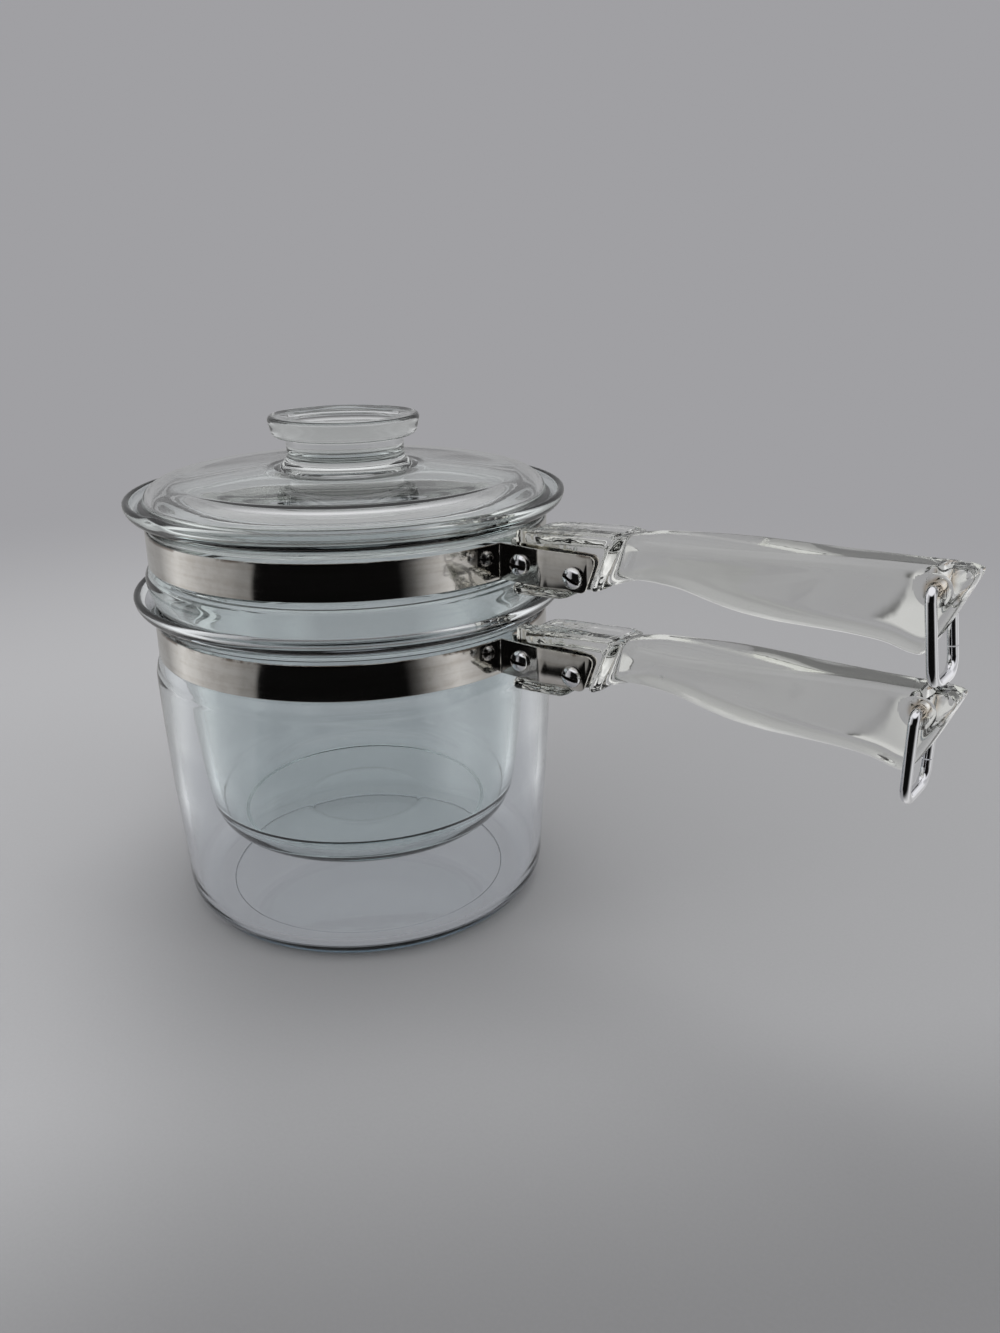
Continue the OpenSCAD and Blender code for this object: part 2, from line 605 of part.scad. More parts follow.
// The plate over the ears, flush with the grip's top
module plate() {
    xs = [for (i = [0:8]) plate_x + (web_end_x - plate_x) * i / 8];
    a = [plate_x, -plate_half_w];
    b = [plate_x, plate_half_w];
    far = [web_end_x, plate_half_w - plate_draw];
    intersection() {
        across(0, 0) linear_extrude(2 * plate_half_w + 2, center = true)
            polygon(concat([for (x = xs) [x, top_z(x)]], flip([for (x = xs) [x, top_z(x) - plate_t]])));
        translate([0, 0, -40]) linear_extrude(80) polygon(concat(
            round_corner([far[0], -far[1]], a, b, plate_corner_r, 8),
            round_corner(a, b, far, plate_corner_r, 8),
            [far, [far[0], -far[1]]]));
    }
}

// The foot under the ears
module lug() {
    a = [web_x, -lug_half_w];
    b = [web_x, lug_half_w];
    c = [lug_end_x, lug_half_w];
    d = [lug_end_x, -lug_half_w];
    translate([0, 0, lug_top - lug_t]) linear_extrude(lug_t)
        polygon([for (q = [[d, a, b], [a, b, c], [b, c, d], [c, d, a]])
            each round_corner(q[0], q[1], q[2], lug_corner_r, 6)]);
}

module handle() {
    difference() {
        union() {
            grip();
            web();
            plate();
            lug();
        }
        screw_holes();
        across(hole_x, hole_z) cylinder(h = through, d = wire_d + 2 * wire_fit, center = true, $fn = 32);
        for (side = [0, 180]) across(hole_x, hole_z) rotate([side, 0, 0])
            translate([0, 0, end_half_w - recess_h])
                cylinder(h = 2 * recess_h, d1 = recess_floor_d, d2 = 2 * recess_d - recess_floor_d, $fn = 48);
    }
}

module lower_handle() { color(glass_handle) translate([0, 0, lower_rim_z]) handle(); }
module upper_handle() { color(glass_handle) translate([0, 0, upper_rim_z]) handle(); }

// The hanging rings: one bent wire each, its ends meeting in the far leg

module quarter(y, z, r, from) {
    translate([0, y, z]) rotate([0, 90, 0]) rotate([0, 0, from])
        rotate_extrude(angle = 90, $fn = 64) translate([r, 0]) circle(d = wire_d, $fn = 24);
}

module rod(y, z, l) { translate([0, y, z]) cylinder(h = l, d = wire_d, $fn = 24); }

module ring() {
    leg_y = end_half_w + ring_play + wire_d / 2;
    ring_l = rim_step - ring_hole_drop - wire_d / 2 - ring_clear;
    leg_top = -ring_top_r;
    leg_low = -ring_l + ring_corner_r;
    joint_z = leg_low + wire_d * 0.65;
    rod(-leg_y, leg_low, leg_top - leg_low);
    rod(leg_y, joint_z + ring_joint, leg_top - joint_z - ring_joint);
    rod(leg_y, leg_low, joint_z - leg_low);
    for (bar = [[0, leg_y - ring_top_r], [-ring_l, leg_y - ring_corner_r]])
        translate([0, bar[1], bar[0]]) rotate([90, 0, 0]) cylinder(h = 2 * bar[1], d = wire_d, $fn = 24);
    quarter(leg_y - ring_top_r, -ring_top_r, ring_top_r, 90);
    quarter(-leg_y + ring_top_r, -ring_top_r, ring_top_r, 180);
    quarter(leg_y - ring_corner_r, leg_low, ring_corner_r, 0);
    quarter(-leg_y + ring_corner_r, leg_low, ring_corner_r, 270);
}

module hung_ring(rim_z, turn) {
    color(chrome) translate([hole_x, 0, rim_z + hole_z]) rotate([0, -turn, 0]) ring();
}

module lower_ring() { hung_ring(lower_rim_z, lower_ring_angle); }
module upper_ring() { hung_ring(upper_rim_z, upper_ring_angle); }

lower_pan();
upper_pan();
lid();
lower_band();
upper_band();
lower_handle();
upper_handle();
lower_clamp_screw();
lower_handle_screw();
upper_clamp_screw();
upper_handle_screw();
lower_clamp_nut();
lower_handle_nut();
upper_clamp_nut();
upper_handle_nut();
lower_ring();
upper_ring();
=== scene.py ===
"""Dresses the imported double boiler: pressed glass, brushed steel, chrome, and the studio round it.

All lengths in the dataclasses are millimetres, as on a drawing. Meshes are made in metres, in the
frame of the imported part: origin at the centre of the lower pan's foot, +Z up, +X along the handles.
"""

import logging
import math
from dataclasses import dataclass, field
from enum import Enum
from typing import Callable, Sequence

import bmesh
import bpy
import numpy as np
from bpy.types import Camera, Light, Material, Mesh, Node, NodeSocket, NodeTree, Object
from mathutils import Matrix, Vector


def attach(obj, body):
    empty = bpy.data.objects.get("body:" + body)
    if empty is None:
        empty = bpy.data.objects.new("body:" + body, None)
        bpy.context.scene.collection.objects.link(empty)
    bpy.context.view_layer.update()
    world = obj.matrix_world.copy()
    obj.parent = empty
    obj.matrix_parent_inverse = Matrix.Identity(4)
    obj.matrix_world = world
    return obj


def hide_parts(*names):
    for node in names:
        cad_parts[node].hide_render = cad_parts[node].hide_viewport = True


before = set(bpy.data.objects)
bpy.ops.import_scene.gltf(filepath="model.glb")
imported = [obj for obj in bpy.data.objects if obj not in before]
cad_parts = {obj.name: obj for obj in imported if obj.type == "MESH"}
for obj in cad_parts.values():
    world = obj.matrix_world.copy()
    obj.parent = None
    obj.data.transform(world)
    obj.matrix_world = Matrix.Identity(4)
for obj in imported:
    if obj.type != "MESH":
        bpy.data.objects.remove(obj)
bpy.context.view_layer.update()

MM = 0.001
STRIP_MAP = "strip"
# the mask of the faces inside screw slots, painted near black: grime and painted shade in the recess
GRIME_AND_SHADE_MASK = "grime_and_shade"
log = logging.getLogger("double_boiler")

Point = tuple[float, float]
Colour = tuple[float, float, float]
Spot = tuple[float, float, float]


class Ray(Enum):
    """The kinds of light path that the surroundings answer differently."""

    CAMERA = "Is Camera Ray"
    GLOSSY = "Is Glossy Ray"
    TRANSMISSION = "Is Transmission Ray"


class Solver(Enum):
    """How a cut is worked out: exactly, or fast on closed meshes."""

    EXACT = "EXACT"
    MANIFOLD = "MANIFOLD"


class Tree:
    """A node tree under construction, with short calls for its nodes and links."""

    def __init__(self, tree: NodeTree) -> None:
        """Keeps the tree that the calls below add to."""
        self.tree = tree

    def add(self, kind: str, inputs: dict | None = None, **settings: object) -> Node:
        """Adds one node.

        Args:
            kind: The node's type name.
            inputs: Values or sockets by input name or number; a socket is linked.
            settings: The node's own properties.

        Returns:
            The new node.
        """
        node = self.tree.nodes.new(kind)
        for key, value in settings.items():
            setattr(node, key, value)
        for key, value in (inputs or {}).items():
            if isinstance(value, NodeSocket):
                self.tree.links.new(value, node.inputs[key])
            else:
                node.inputs[key].default_value = value
        return node

    def math(self, operation: str, *terms: object) -> NodeSocket:
        """Adds a Math node on numbers or sockets and returns its result."""
        return self.add("ShaderNodeMath", dict(enumerate(terms)), operation=operation).outputs[0]

    def times(self, first: object, second: object) -> NodeSocket:
        """Multiplies two numbers or sockets."""
        return self.math("MULTIPLY", first, second)

    def over(self, first: object, second: object) -> NodeSocket:
        """Divides the first number or socket by the second."""
        return self.math("DIVIDE", first, second)

    def plus(self, first: object, second: object) -> NodeSocket:
        """Adds two numbers or sockets."""
        return self.math("ADD", first, second)

    def minus(self, first: object, second: object) -> NodeSocket:
        """Takes the second number or socket from the first."""
        return self.math("SUBTRACT", first, second)

    def most(self, first: object, second: object) -> NodeSocket:
        """Picks the larger of two numbers or sockets."""
        return self.math("MAXIMUM", first, second)

    def parts(self, vector: object) -> object:
        """Splits a vector into the sockets of its three parts."""
        return self.add("ShaderNodeSeparateXYZ", {0: vector}).outputs

    def vector(self, x: object, y: object, z: object) -> NodeSocket:
        """Joins three numbers or sockets into a vector."""
        return self.add("ShaderNodeCombineXYZ", {0: x, 1: y, 2: z}).outputs[0]

    def along(self, place: object, x: float, y: float) -> NodeSocket:
        """Measures how far a place lies along a level direction."""
        return self.add("ShaderNodeVectorMath", {0: place, 1: (x, y, 0.0)},
                        operation="DOT_PRODUCT").outputs[1]

    def noise(self, place: object, scale: object, detail: float,
              roughness: float = 0.5) -> NodeSocket:
        """Adds soft noise over a place and returns its value."""
        return self.add("ShaderNodeTexNoise", {"Vector": place, "Scale": scale, "Detail": detail,
                                               "Roughness": roughness}).outputs[0]

    def blend(self, share: object, first: object, second: object) -> NodeSocket:
        """Mixes two numbers or sockets by a share and returns the result."""
        return self.add("ShaderNodeMix", {0: share, 2: first, 3: second},
                        data_type="FLOAT").outputs[0]

    def mix(self, share: object, first: object, second: object) -> NodeSocket:
        """Mixes two colours, each a socket or three numbers, and returns the result.

        Args:
            share: The share of the second colour.
            first: The first colour.
            second: The second colour.

        Returns:
            The mixed colour.
        """
        colours = [(*value, 1.0) if isinstance(value, tuple) else value
                   for value in (first, second)]
        node = self.add("ShaderNodeMix", {0: share, 6: colours[0], 7: colours[1]}, data_type="RGBA")
        return node.outputs[2]

    def ramp(self, value: object, low: float, high: float, to_low: float = 0.0,
             to_high: float = 1.0) -> NodeSocket:
        """Maps a value smoothly from one range to another and returns the result.

        Args:
            value: The socket to map.
            low: Where the value's range starts.
            high: Where the value's range ends.
            to_low: The result at low.
            to_high: The result at high.

        Returns:
            The mapped socket.
        """
        node = self.add("ShaderNodeMapRange", {0: value, 1: low, 2: high, 3: to_low, 4: to_high},
                        interpolation_type="SMOOTHSTEP")
        return node.outputs[0]


def new_object(name: str, data: Mesh | Camera | Light) -> Object:
    """Links a new object that holds the data and returns it.

    Args:
        name: The object's name.
        data: Its mesh, camera or light.

    Returns:
        The object.
    """
    obj = bpy.data.objects.new(name, data)
    bpy.context.scene.collection.objects.link(obj)
    return obj


def mesh_object(name: str, points: Sequence, edges: Sequence, faces: Sequence) -> Object:
    """Makes an object from plain lists, with its points in millimetres.

    Args:
        name: The object's name.
        points: Its points.
        edges: Its loose edges.
        faces: Its faces.

    Returns:
        The new object.
    """
    mesh = bpy.data.meshes.new(name)
    mesh.from_pydata([Vector(p) * MM for p in points], edges, faces)
    mesh.update()
    return new_object(name, mesh)


def shade_smooth(obj: Object, sharp_angle: float) -> None:
    """Shades an object smooth, but for edges sharper than an angle in degrees.

    Args:
        obj: The object.
        sharp_angle: The smallest turn that stays sharp.
    """
    obj.data.polygons.foreach_set("use_smooth", [True] * len(obj.data.polygons))
    obj.data.set_sharp_from_angle(angle=math.radians(sharp_angle))
    obj.data.update()


def polyline(name: str, points: Sequence) -> Object:
    """Makes an object of loose edges along the points, in millimetres."""
    return mesh_object(name, points, [(i, i + 1) for i in range(len(points) - 1)], [])


def evaluated_mesh(obj: Object) -> Mesh:
    """Makes a new mesh of what an object's modifiers make of it."""
    graph = bpy.context.evaluated_depsgraph_get()
    return bpy.data.meshes.new_from_object(obj.evaluated_get(graph), depsgraph=graph)


def run_tree(name: str, carrier: Object, tree: NodeTree, values: dict) -> Object:
    """Runs a geometry tree on a carrier and keeps the result as a plain mesh object.

    Args:
        name: The name of the result.
        carrier: The object that the tree works on, which is used up.
        tree: The geometry tree.
        values: The tree's inputs by name.

    Returns:
        The plain mesh object.
    """
    modifier = carrier.modifiers.new("shape", "NODES")
    modifier.node_group = tree
    idents = {item.name: item.identifier for item in tree.interface.items_tree
              if item.item_type == "SOCKET" and item.in_out == "INPUT"}
    for key, value in values.items():
        modifier[idents[key]] = value
    mesh = evaluated_mesh(carrier)
    bpy.data.objects.remove(carrier)
    mesh.name = name
    return new_object(name, mesh)


# Curves in the plane


def arc(centre: Point, radius: float, start: float, end: float, steps: int) -> list[Point]:
    """Points on an arc, from start to end in degrees."""
    angles = np.radians(np.linspace(start, end, steps + 1))
    return [(centre[0] + radius * math.cos(a), centre[1] + radius * math.sin(a)) for a in angles]


def spline(points: Sequence, steps: int) -> list:
    """A smooth curve through the points, with so many steps from each point to the next.

    Args:
        points: The points.
        steps: The steps between two points.

    Returns:
        The points of the curve.
    """
    p = [np.array(q, float) for q in points]
    last = len(p) - 1
    out = []
    for i in range(last):
        a, b, c, d = p[max(i - 1, 0)], p[i], p[i + 1], p[min(i + 2, last)]
        for t in np.arange(steps) / steps:
            out.append(tuple(0.5 * (2 * b + (c - a) * t + (2 * a - 5 * b + 4 * c - d) * t * t
                                    + (3 * b - a - 3 * c + d) * t ** 3)))
    return out + [tuple(p[last])]


def beside(points: Sequence, gap: float) -> list[Point]:
    """The curve moved sideways by the gap, to the left of its direction.

    Args:
        points: The curve.
        gap: How far it moves.

    Returns:
        The moved curve.
    """
    p = np.array(points, float)
    v = np.array([p[min(i + 1, len(p) - 1)] - p[max(i - 1, 0)] for i in range(len(p))])
    u = v / np.linalg.norm(v, axis=1)[:, None]
    return [tuple(q) for q in p + gap * np.stack([-u[:, 1], u[:, 0]], 1)]


def bezier(a: Point, b: Point, c: Point, d: Point, steps: int) -> list[Point]:
    """Points on a cubic curve from a to d, pulled towards b and c.

    Args:
        a: The start.
        b: The point that it leaves towards.
        c: The point that it comes from.
        d: The end.
        steps: The number of steps.

    Returns:
        The points of the curve.
    """
    t = np.linspace(0, 1, steps + 1)[:, None]
    p = (1 - t) ** 3 * np.array(a) + 3 * (1 - t) ** 2 * t * np.array(b) \
        + 3 * (1 - t) * t ** 2 * np.array(c) + t ** 3 * np.array(d)
    return [tuple(q) for q in p]


def lerp(a: float, b: float, t: float) -> float:
    """The value at share t of the way from a to b."""
    return a + (b - a) * t


def flattened(points: Sequence[Point], level: float, share: float) -> list[Point]:
    """Points of a profile, their heights above a level scaled by a share."""
    return [(r, level + (z - level) * share) for r, z in points]


def moulded_ring(r: float, z: float, height: float, reach: float) -> list[Point]:
    """Points of a soft raised line round a bottom, at radius r."""
    return [(r - reach, z), (r - reach / 2, z + height / 2), (r, z + height),
            (r + reach / 2, z + height / 2), (r + reach, z)]


def softened(points: Sequence[Point], radius: float, least_turn: float = 14.0,
             steps: int = 5) -> list[Point]:
    """Rounds the corners of an open curve that turn by more than an angle in degrees.

    Args:
        points: The curve.
        radius: The radius of the rounding, which short sides make smaller.
        least_turn: The smallest turn that is rounded.
        steps: The steps in each rounded corner.

    Returns:
        The rounded curve.
    """
    p = [Vector(q) for q in points]
    out = [p[0]]
    for a, b, c in zip(p, p[1:], p[2:]):
        u, v = a - b, c - b
        turn = math.pi - u.angle(v, math.pi)
        if math.degrees(turn) < least_turn:
            out.append(b)
            continue
        reach = min(radius * math.tan(turn / 2), 0.45 * u.length, 0.45 * v.length)
        start, end = b + u.normalized() * reach, b + v.normalized() * reach
        for i in range(steps + 1):
            t = i / steps
            out.append((1 - t) ** 2 * start + 2 * t * (1 - t) * b + t * t * end)
    return [tuple(q) for q in out + [p[-1]]]


# Solids from sections


def rounded_section(half_w: float, low: float, high: float, radius: float,
                    steps: int) -> list[Point]:
    """A closed rectangle with rounded corners, symmetric about zero width.

    Args:
        half_w: Half its width.
        low: Its lowest point.
        high: Its highest point.
        radius: The corners' radius, which a small section makes smaller.
        steps: The steps in each corner.

    Returns:
        Its points, clockwise.
    """
    r = max(0.02, min(radius, half_w * 0.9, (high - low) * 0.45))
    corners = [(half_w - r, high - r, 90, 0), (half_w - r, low + r, 0, -90),
               (r - half_w, low + r, -90, -180), (r - half_w, high - r, -180, -270)]
    return [q for y, z, start, end in corners for q in arc((y, z), r, start, end, steps)]


def loft(name: str, rings: Sequence) -> Object:
    """Makes a closed solid through rings of points that all have the same count.

    Args:
        name: The object's name.
        rings: The rings, each closed, in order.

    Returns:
        The solid, with its faces outward.
    """
    m, n = len(rings[0]), len(rings)
    walls = [(i * m + j, (i + 1) * m + j, (i + 1) * m + (j + 1) % m, i * m + (j + 1) % m)
             for i in range(n - 1) for j in range(m)]
    caps = [tuple(range(m)), tuple(range((n - 1) * m, n * m))]
    obj = mesh_object(name, [q for ring in rings for q in ring], [], walls + caps)
    face_outward(obj)
    return obj


def face_outward(obj: Object) -> None:
    """Recalculates an object's normals so that they point outward.

    Args:
        obj: The object, whose surface is closed.
    """
    work = bmesh.new()
    work.from_mesh(obj.data)
    bmesh.ops.recalc_face_normals(work, faces=work.faces)
    work.to_mesh(obj.data)
    work.free()


def pin(name: str, x: float, z: float, stations: Sequence[Point], segments: int = 64) -> Object:
    """Makes a round solid that lies along Y, from its (y, radius) stations."""
    angles = np.linspace(0, 2 * math.pi, segments, endpoint=False)
    return loft(name,
                [[(x + r * math.cos(a), y, z + r * math.sin(a)) for a in angles]
                 for y, r in stations])


def joined(name: str, objects: Sequence[Object]) -> Object:
    """Joins objects into one mesh object and removes them.

    Args:
        name: The result's name.
        objects: The objects.

    Returns:
        The joined object.
    """
    work = bmesh.new()
    for obj in objects:
        work.from_mesh(obj.data)
        bpy.data.objects.remove(obj)
    mesh = bpy.data.meshes.new(name)
    work.to_mesh(mesh)
    work.free()
    return new_object(name, mesh)


def modified(obj: Object, kind: str, **settings: object) -> Object:
    """Runs one modifier on an object's mesh.

    Args:
        obj: The object.
        kind: The modifier's type name.
        settings: The modifier's own properties.

    Returns:
        The same object.
    """
    modifier = obj.modifiers.new(kind.lower(), kind)
    for key, value in settings.items():
        setattr(modifier, key, value)
    mesh = evaluated_mesh(obj)
    obj.modifiers.clear()
    obj.data = mesh
    return obj


def remeshed(obj: Object, voxel: float) -> Object:
    """Melts the overlapping solids of an object into one, on a grid of a size in millimetres."""
    return modified(obj, "REMESH", mode="VOXEL", voxel_size=voxel * MM)


def relaxed(obj: Object, passes: int) -> Object:
    """Smooths the steps that a melt leaves on the surface, in so many passes."""
    return modified(obj, "CORRECTIVE_SMOOTH", factor=0.6, iterations=passes, use_only_smooth=True)


def cut(obj: Object, cutter: Object, solver: Solver = Solver.EXACT) -> Object:
    """Cuts a solid out of an object.

    Args:
        obj: The object.
        cutter: The solid, which is used up.
        solver: How the cut is worked out.

    Returns:
        The same object.
    """
    modified(obj, "BOOLEAN", operation="DIFFERENCE", solver=solver.value, object=cutter)
    bpy.data.objects.remove(cutter)
    return obj


def raised(obj: Object, height: float) -> Object:
    """Moves an object's mesh up by a height in millimetres."""
    obj.data.transform(Matrix.Translation((0, 0, height * MM)))
    return obj


def coated(obj: Object, material: Material) -> Object:
    """Gives an object one material over all its faces.

    Args:
        obj: The object.
        material: The material.

    Returns:
        The same object.
    """
    obj.data.materials.clear()
    obj.data.materials.append(material)
    return obj


@dataclass(frozen=True)
class Placement:
    """Where a finished piece belongs: its body and the nodes it stands for, with the name of its
    finish, which is not used.
    """

    body: str
    slot: str
    nodes: tuple[str, ...]

    def place(self, piece: Object) -> None:
        """Hands a finished piece to the frame and reports it.

        Args:
            piece: The piece, at rest in the part's frame.
        """
        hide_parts(*self.nodes)
        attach(piece, self.body)
        piece.data.calc_loop_triangles()
        log.info("%s: %d triangles, on %s, for %s", piece.name, len(piece.data.loop_triangles),
                 self.body, ", ".join(self.nodes))


# Geometry trees


class GeometryTree(Tree):
    """A geometry node tree with named inputs."""

    def __init__(self, name: str) -> None:
        """Starts a tree that has one geometry input and one geometry output.

        Args:
            name: The tree's name.
        """
        super().__init__(bpy.data.node_groups.new(name, "GeometryNodeTree"))
        self.socket("Geometry", "NodeSocketGeometry")
        self.tree.interface.new_socket("Geometry", in_out="OUTPUT",
                                       socket_type="NodeSocketGeometry")
        self.inputs = self.add("NodeGroupInput")

    def socket(self, name: str, kind: str, value: object = None) -> None:
        """Adds a named input with its default value.

        Args:
            name: The input's name.
            kind: The socket's type name.
            value: Its default value, if it has one.
        """
        item = self.tree.interface.new_socket(name, in_out="INPUT", socket_type=kind)
        if value is not None:
            item.default_value = value

    def close(self, geometry: NodeSocket) -> NodeTree:
        """Ends the tree in Realize Instances and Set Material and returns it.

        Args:
            geometry: The finished geometry.

        Returns:
            The finished tree.
        """
        real = self.add("GeometryNodeRealizeInstances", {"Geometry": geometry}).outputs[0]
        smooth = self.add("GeometryNodeSetShadeSmooth", {"Geometry": real}).outputs[0]
        dressed = self.add("GeometryNodeSetMaterial",
                           {"Geometry": smooth,
                            "Material": self.inputs.outputs["Material"]}).outputs[0]
        self.add("NodeGroupOutput", {"Geometry": dressed})
        return self.tree


def turning_tree() -> NodeTree:
    """Builds the tree that turns a profile about Z and draws its rim out into a pour lip.

    Returns:
        The tree, which reads a profile of loose edges.
    """
    t = GeometryTree("turned_glass")
    t.socket("Segments", "NodeSocketInt", 240)
    for name, value in (("Rim Height", 0.1), ("Lip Depth", 0.008), ("Pour Angle", 0.0),
                        ("Pour Width", 0.08), ("Pour Reach", 0.0), ("Pour Drop", 0.0)):
        t.socket(name, "NodeSocketFloat", value)
    t.socket("Material", "NodeSocketMaterial")
    ask = t.inputs.outputs
    count = t.add("GeometryNodeAttributeDomainSize",
                  {"Geometry": ask["Geometry"]}).outputs["Point Count"]
    columns = t.plus(ask["Segments"], 1)
    grid = t.add("GeometryNodeMeshGrid",
                 {"Vertices X": count, "Vertices Y": columns}).outputs["Mesh"]
    index = t.add("GeometryNodeInputIndex").outputs[0]
    row = t.math("FLOOR", t.over(t.plus(index, 0.5), columns))
    column = t.minus(index, t.times(row, columns))
    angle = t.times(t.over(column, ask["Segments"]), -2 * math.pi)
    at = t.add("GeometryNodeSampleIndex", {"Geometry": ask["Geometry"], "Index": row,
                                           "Value": t.add("GeometryNodeInputPosition").outputs[0]},
               data_type="FLOAT_VECTOR", domain="POINT")
    profile = t.parts(at.outputs[0])
    turn = t.math("ABSOLUTE", t.math("WRAP", t.minus(angle, ask["Pour Angle"]), math.pi, -math.pi))
    share = t.over(turn, ask["Pour Width"])
    swell = t.math("EXPONENT", t.times(t.times(share, share), -1.0))
    below = t.over(t.minus(ask["Rim Height"], profile[2]), ask["Lip Depth"])
    near = t.ramp(below, 0.0, 1.0, 1.0, 0.0)
    lip = t.times(swell, near)
    radius = t.plus(profile[0], t.times(lip, ask["Pour Reach"]))
    height = t.minus(profile[2], t.times(lip, ask["Pour Drop"]))
    where = t.vector(t.times(radius, t.math("COSINE", angle)),
                     t.times(radius, t.math("SINE", angle)), height)
    turned = t.add("GeometryNodeSetPosition", {"Geometry": grid, "Position": where}).outputs[0]
    whole = t.add("GeometryNodeMergeByDistance", {"Geometry": turned, "Distance": 2e-6}).outputs[0]
    return t.close(whole)


def wire_tree() -> NodeTree:
    """Builds the tree that runs a round wire along a path, with closed ends.

    Returns:
        The tree, which reads a path of loose edges.
    """
    t = GeometryTree("bent_wire")
    t.socket("Wire Radius", "NodeSocketFloat", 0.0015)
    t.socket("Sides", "NodeSocketInt", 32)
    t.socket("Material", "NodeSocketMaterial")
    ask = t.inputs.outputs
    path = t.add("GeometryNodeMeshToCurve", {"Mesh": ask["Geometry"]}).outputs[0]
    section = t.add("GeometryNodeCurvePrimitiveCircle", {"Resolution": ask["Sides"],
                                                         "Radius": ask["Wire Radius"]}).outputs[0]
    wire = t.add("GeometryNodeCurveToMesh",
                 {"Curve": path, "Profile Curve": section, "Fill Caps": True})
    return t.close(wire.outputs[0])


def fastener_tree() -> NodeTree:
    """Builds the tree that sets a fastener on each point, turned about Y by the point's angle.

    Returns:
        The tree, which reads loose points.
    """
    t = GeometryTree("set_fasteners")
    t.socket("Fastener", "NodeSocketObject")
    t.socket("Material", "NodeSocketMaterial")
    ask = t.inputs.outputs
    model = t.add("GeometryNodeObjectInfo", {"Object": ask["Fastener"]}, transform_space="ORIGINAL")
    turn = t.add("GeometryNodeInputNamedAttribute", {"Name": "turn"}, data_type="FLOAT").outputs[0]
    points = t.add("GeometryNodeMeshToPoints", {"Mesh": ask["Geometry"]}).outputs[0]
    placed = t.add("GeometryNodeInstanceOnPoints",
                   {"Points": points, "Instance": model.outputs["Geometry"],
                    "Rotation": t.vector(0.0, turn, 0.0)})
    return t.close(placed.outputs[0])


# Finishes


def shared_group(name: str, values: dict[str, float],
                 results: Sequence[str]) -> tuple[Tree, object]:
    """Starts a shader group that reads a vector and some numbers, and puts out masks.

    Args:
        name: The group's name.
        values: The default of each number, by the number's name.
        results: The names of the masks.

    Returns:
        The group under construction and the sockets that it reads.
    """
    t = Tree(bpy.data.node_groups.new(name, "ShaderNodeTree"))
    face = t.tree.interface
    face.new_socket("Vector", in_out="INPUT", socket_type="NodeSocketVector")
    for key, value in values.items():
        face.new_socket(key, in_out="INPUT", socket_type="NodeSocketFloat").default_value = value
    for key in results:
        face.new_socket(key, in_out="OUTPUT", socket_type="NodeSocketFloat")
    return t, t.add("NodeGroupInput").outputs


def blemish_group() -> NodeTree:
    """Builds the shared group of small marks: slow waves, fine wear and scattered specks.

    Returns:
        The group.
    """
    t, ask = shared_group("surface_marks",
                          {"Wave Scale": 25.0, "Wear Scale": 300.0, "Speck Scale": 90.0,
                           "Speck Share": 0.1}, ("Wave", "Wear", "Speck"))
    wave = t.noise(ask["Vector"], ask["Wave Scale"], 1.0)
    wear = t.noise(ask["Vector"], ask["Wear Scale"], 4.0, 0.65)
    cell = t.add("ShaderNodeTexVoronoi", {"Vector": ask["Vector"], "Scale": ask["Speck Scale"]})
    pick = t.add("ShaderNodeSeparateColor", {0: cell.outputs["Color"]}).outputs[0]
    chosen = t.math("LESS_THAN", pick, ask["Speck Share"])
    dot = t.ramp(t.minus(cell.outputs["Distance"], t.times(pick, 0.6)), 0.02, 0.07, 1.0, 0.0)
    t.add("NodeGroupOutput", {"Wave": wave, "Wear": wear, "Speck": t.times(dot, chosen)})
    return t.tree


def brushing_group() -> NodeTree:
    """Builds the shared group of long fine lines that run along a piece's strip map.

    Returns:
        The group.
    """
    t, ask = shared_group("brushed_lines", {"Stretch": 60.0, "Line Scale": 2600.0},
                          ("Lines", "Bands"))
    across = t.parts(ask["Vector"])
    along = t.over(across[0], ask["Stretch"])
    lines = t.noise(t.vector(along, across[1], 0.0), ask["Line Scale"], 3.0, 0.7)
    bands = t.noise(t.vector(t.times(along, 4.0), across[1], 0.0), t.times(ask["Line Scale"], 0.16),
                    2.0)
    t.add("NodeGroupOutput", {"Lines": lines, "Bands": bands})
    return t.tree


class Finish(Tree):
    """A material under construction, with its shader node at hand."""

    def __init__(self, name: str, **plain: object) -> None:
        """Starts a material and sets the shader's plain values.

        Args:
            name: The material's name.
            plain: The shader's constant values, with spaces in their names written as underscores.
        """
        self.material = bpy.data.materials.new(name)
        self.material.use_nodes = True
        super().__init__(self.material.node_tree)
        self.tree.nodes.clear()
        self.shader = self.add("ShaderNodeBsdfPrincipled",
                               {key.replace("_", " "): value for key, value in plain.items()})
        self.output = self.add("ShaderNodeOutputMaterial", {"Surface": self.shader.outputs[0]})
        self.place = self.add("ShaderNodeTexCoord").outputs["Object"]

    def group(self, tree: NodeTree, **inputs: object) -> Node:
        """Places a shared group with its own values.

        Args:
            tree: The group.
            inputs: The group's values or sockets, named as above.

        Returns:
            The group's node.
        """
        named = {key.replace("_", " "): value for key, value in inputs.items()}
        return self.add("ShaderNodeGroup", named, node_tree=tree)

    def feed(self, name: str, socket: NodeSocket) -> None:
        """Links a socket to one of the shader's inputs."""
        self.tree.links.new(socket, self.shader.inputs[name])

    def bump(self, height: object, distance: float) -> None:
        """Feeds a height through a bump, its distance in millimetres, into the shader's normal."""
        node = self.add("ShaderNodeBump", {"Height": height, "Distance": distance * MM})
        self.feed("Normal", node.outputs[0])


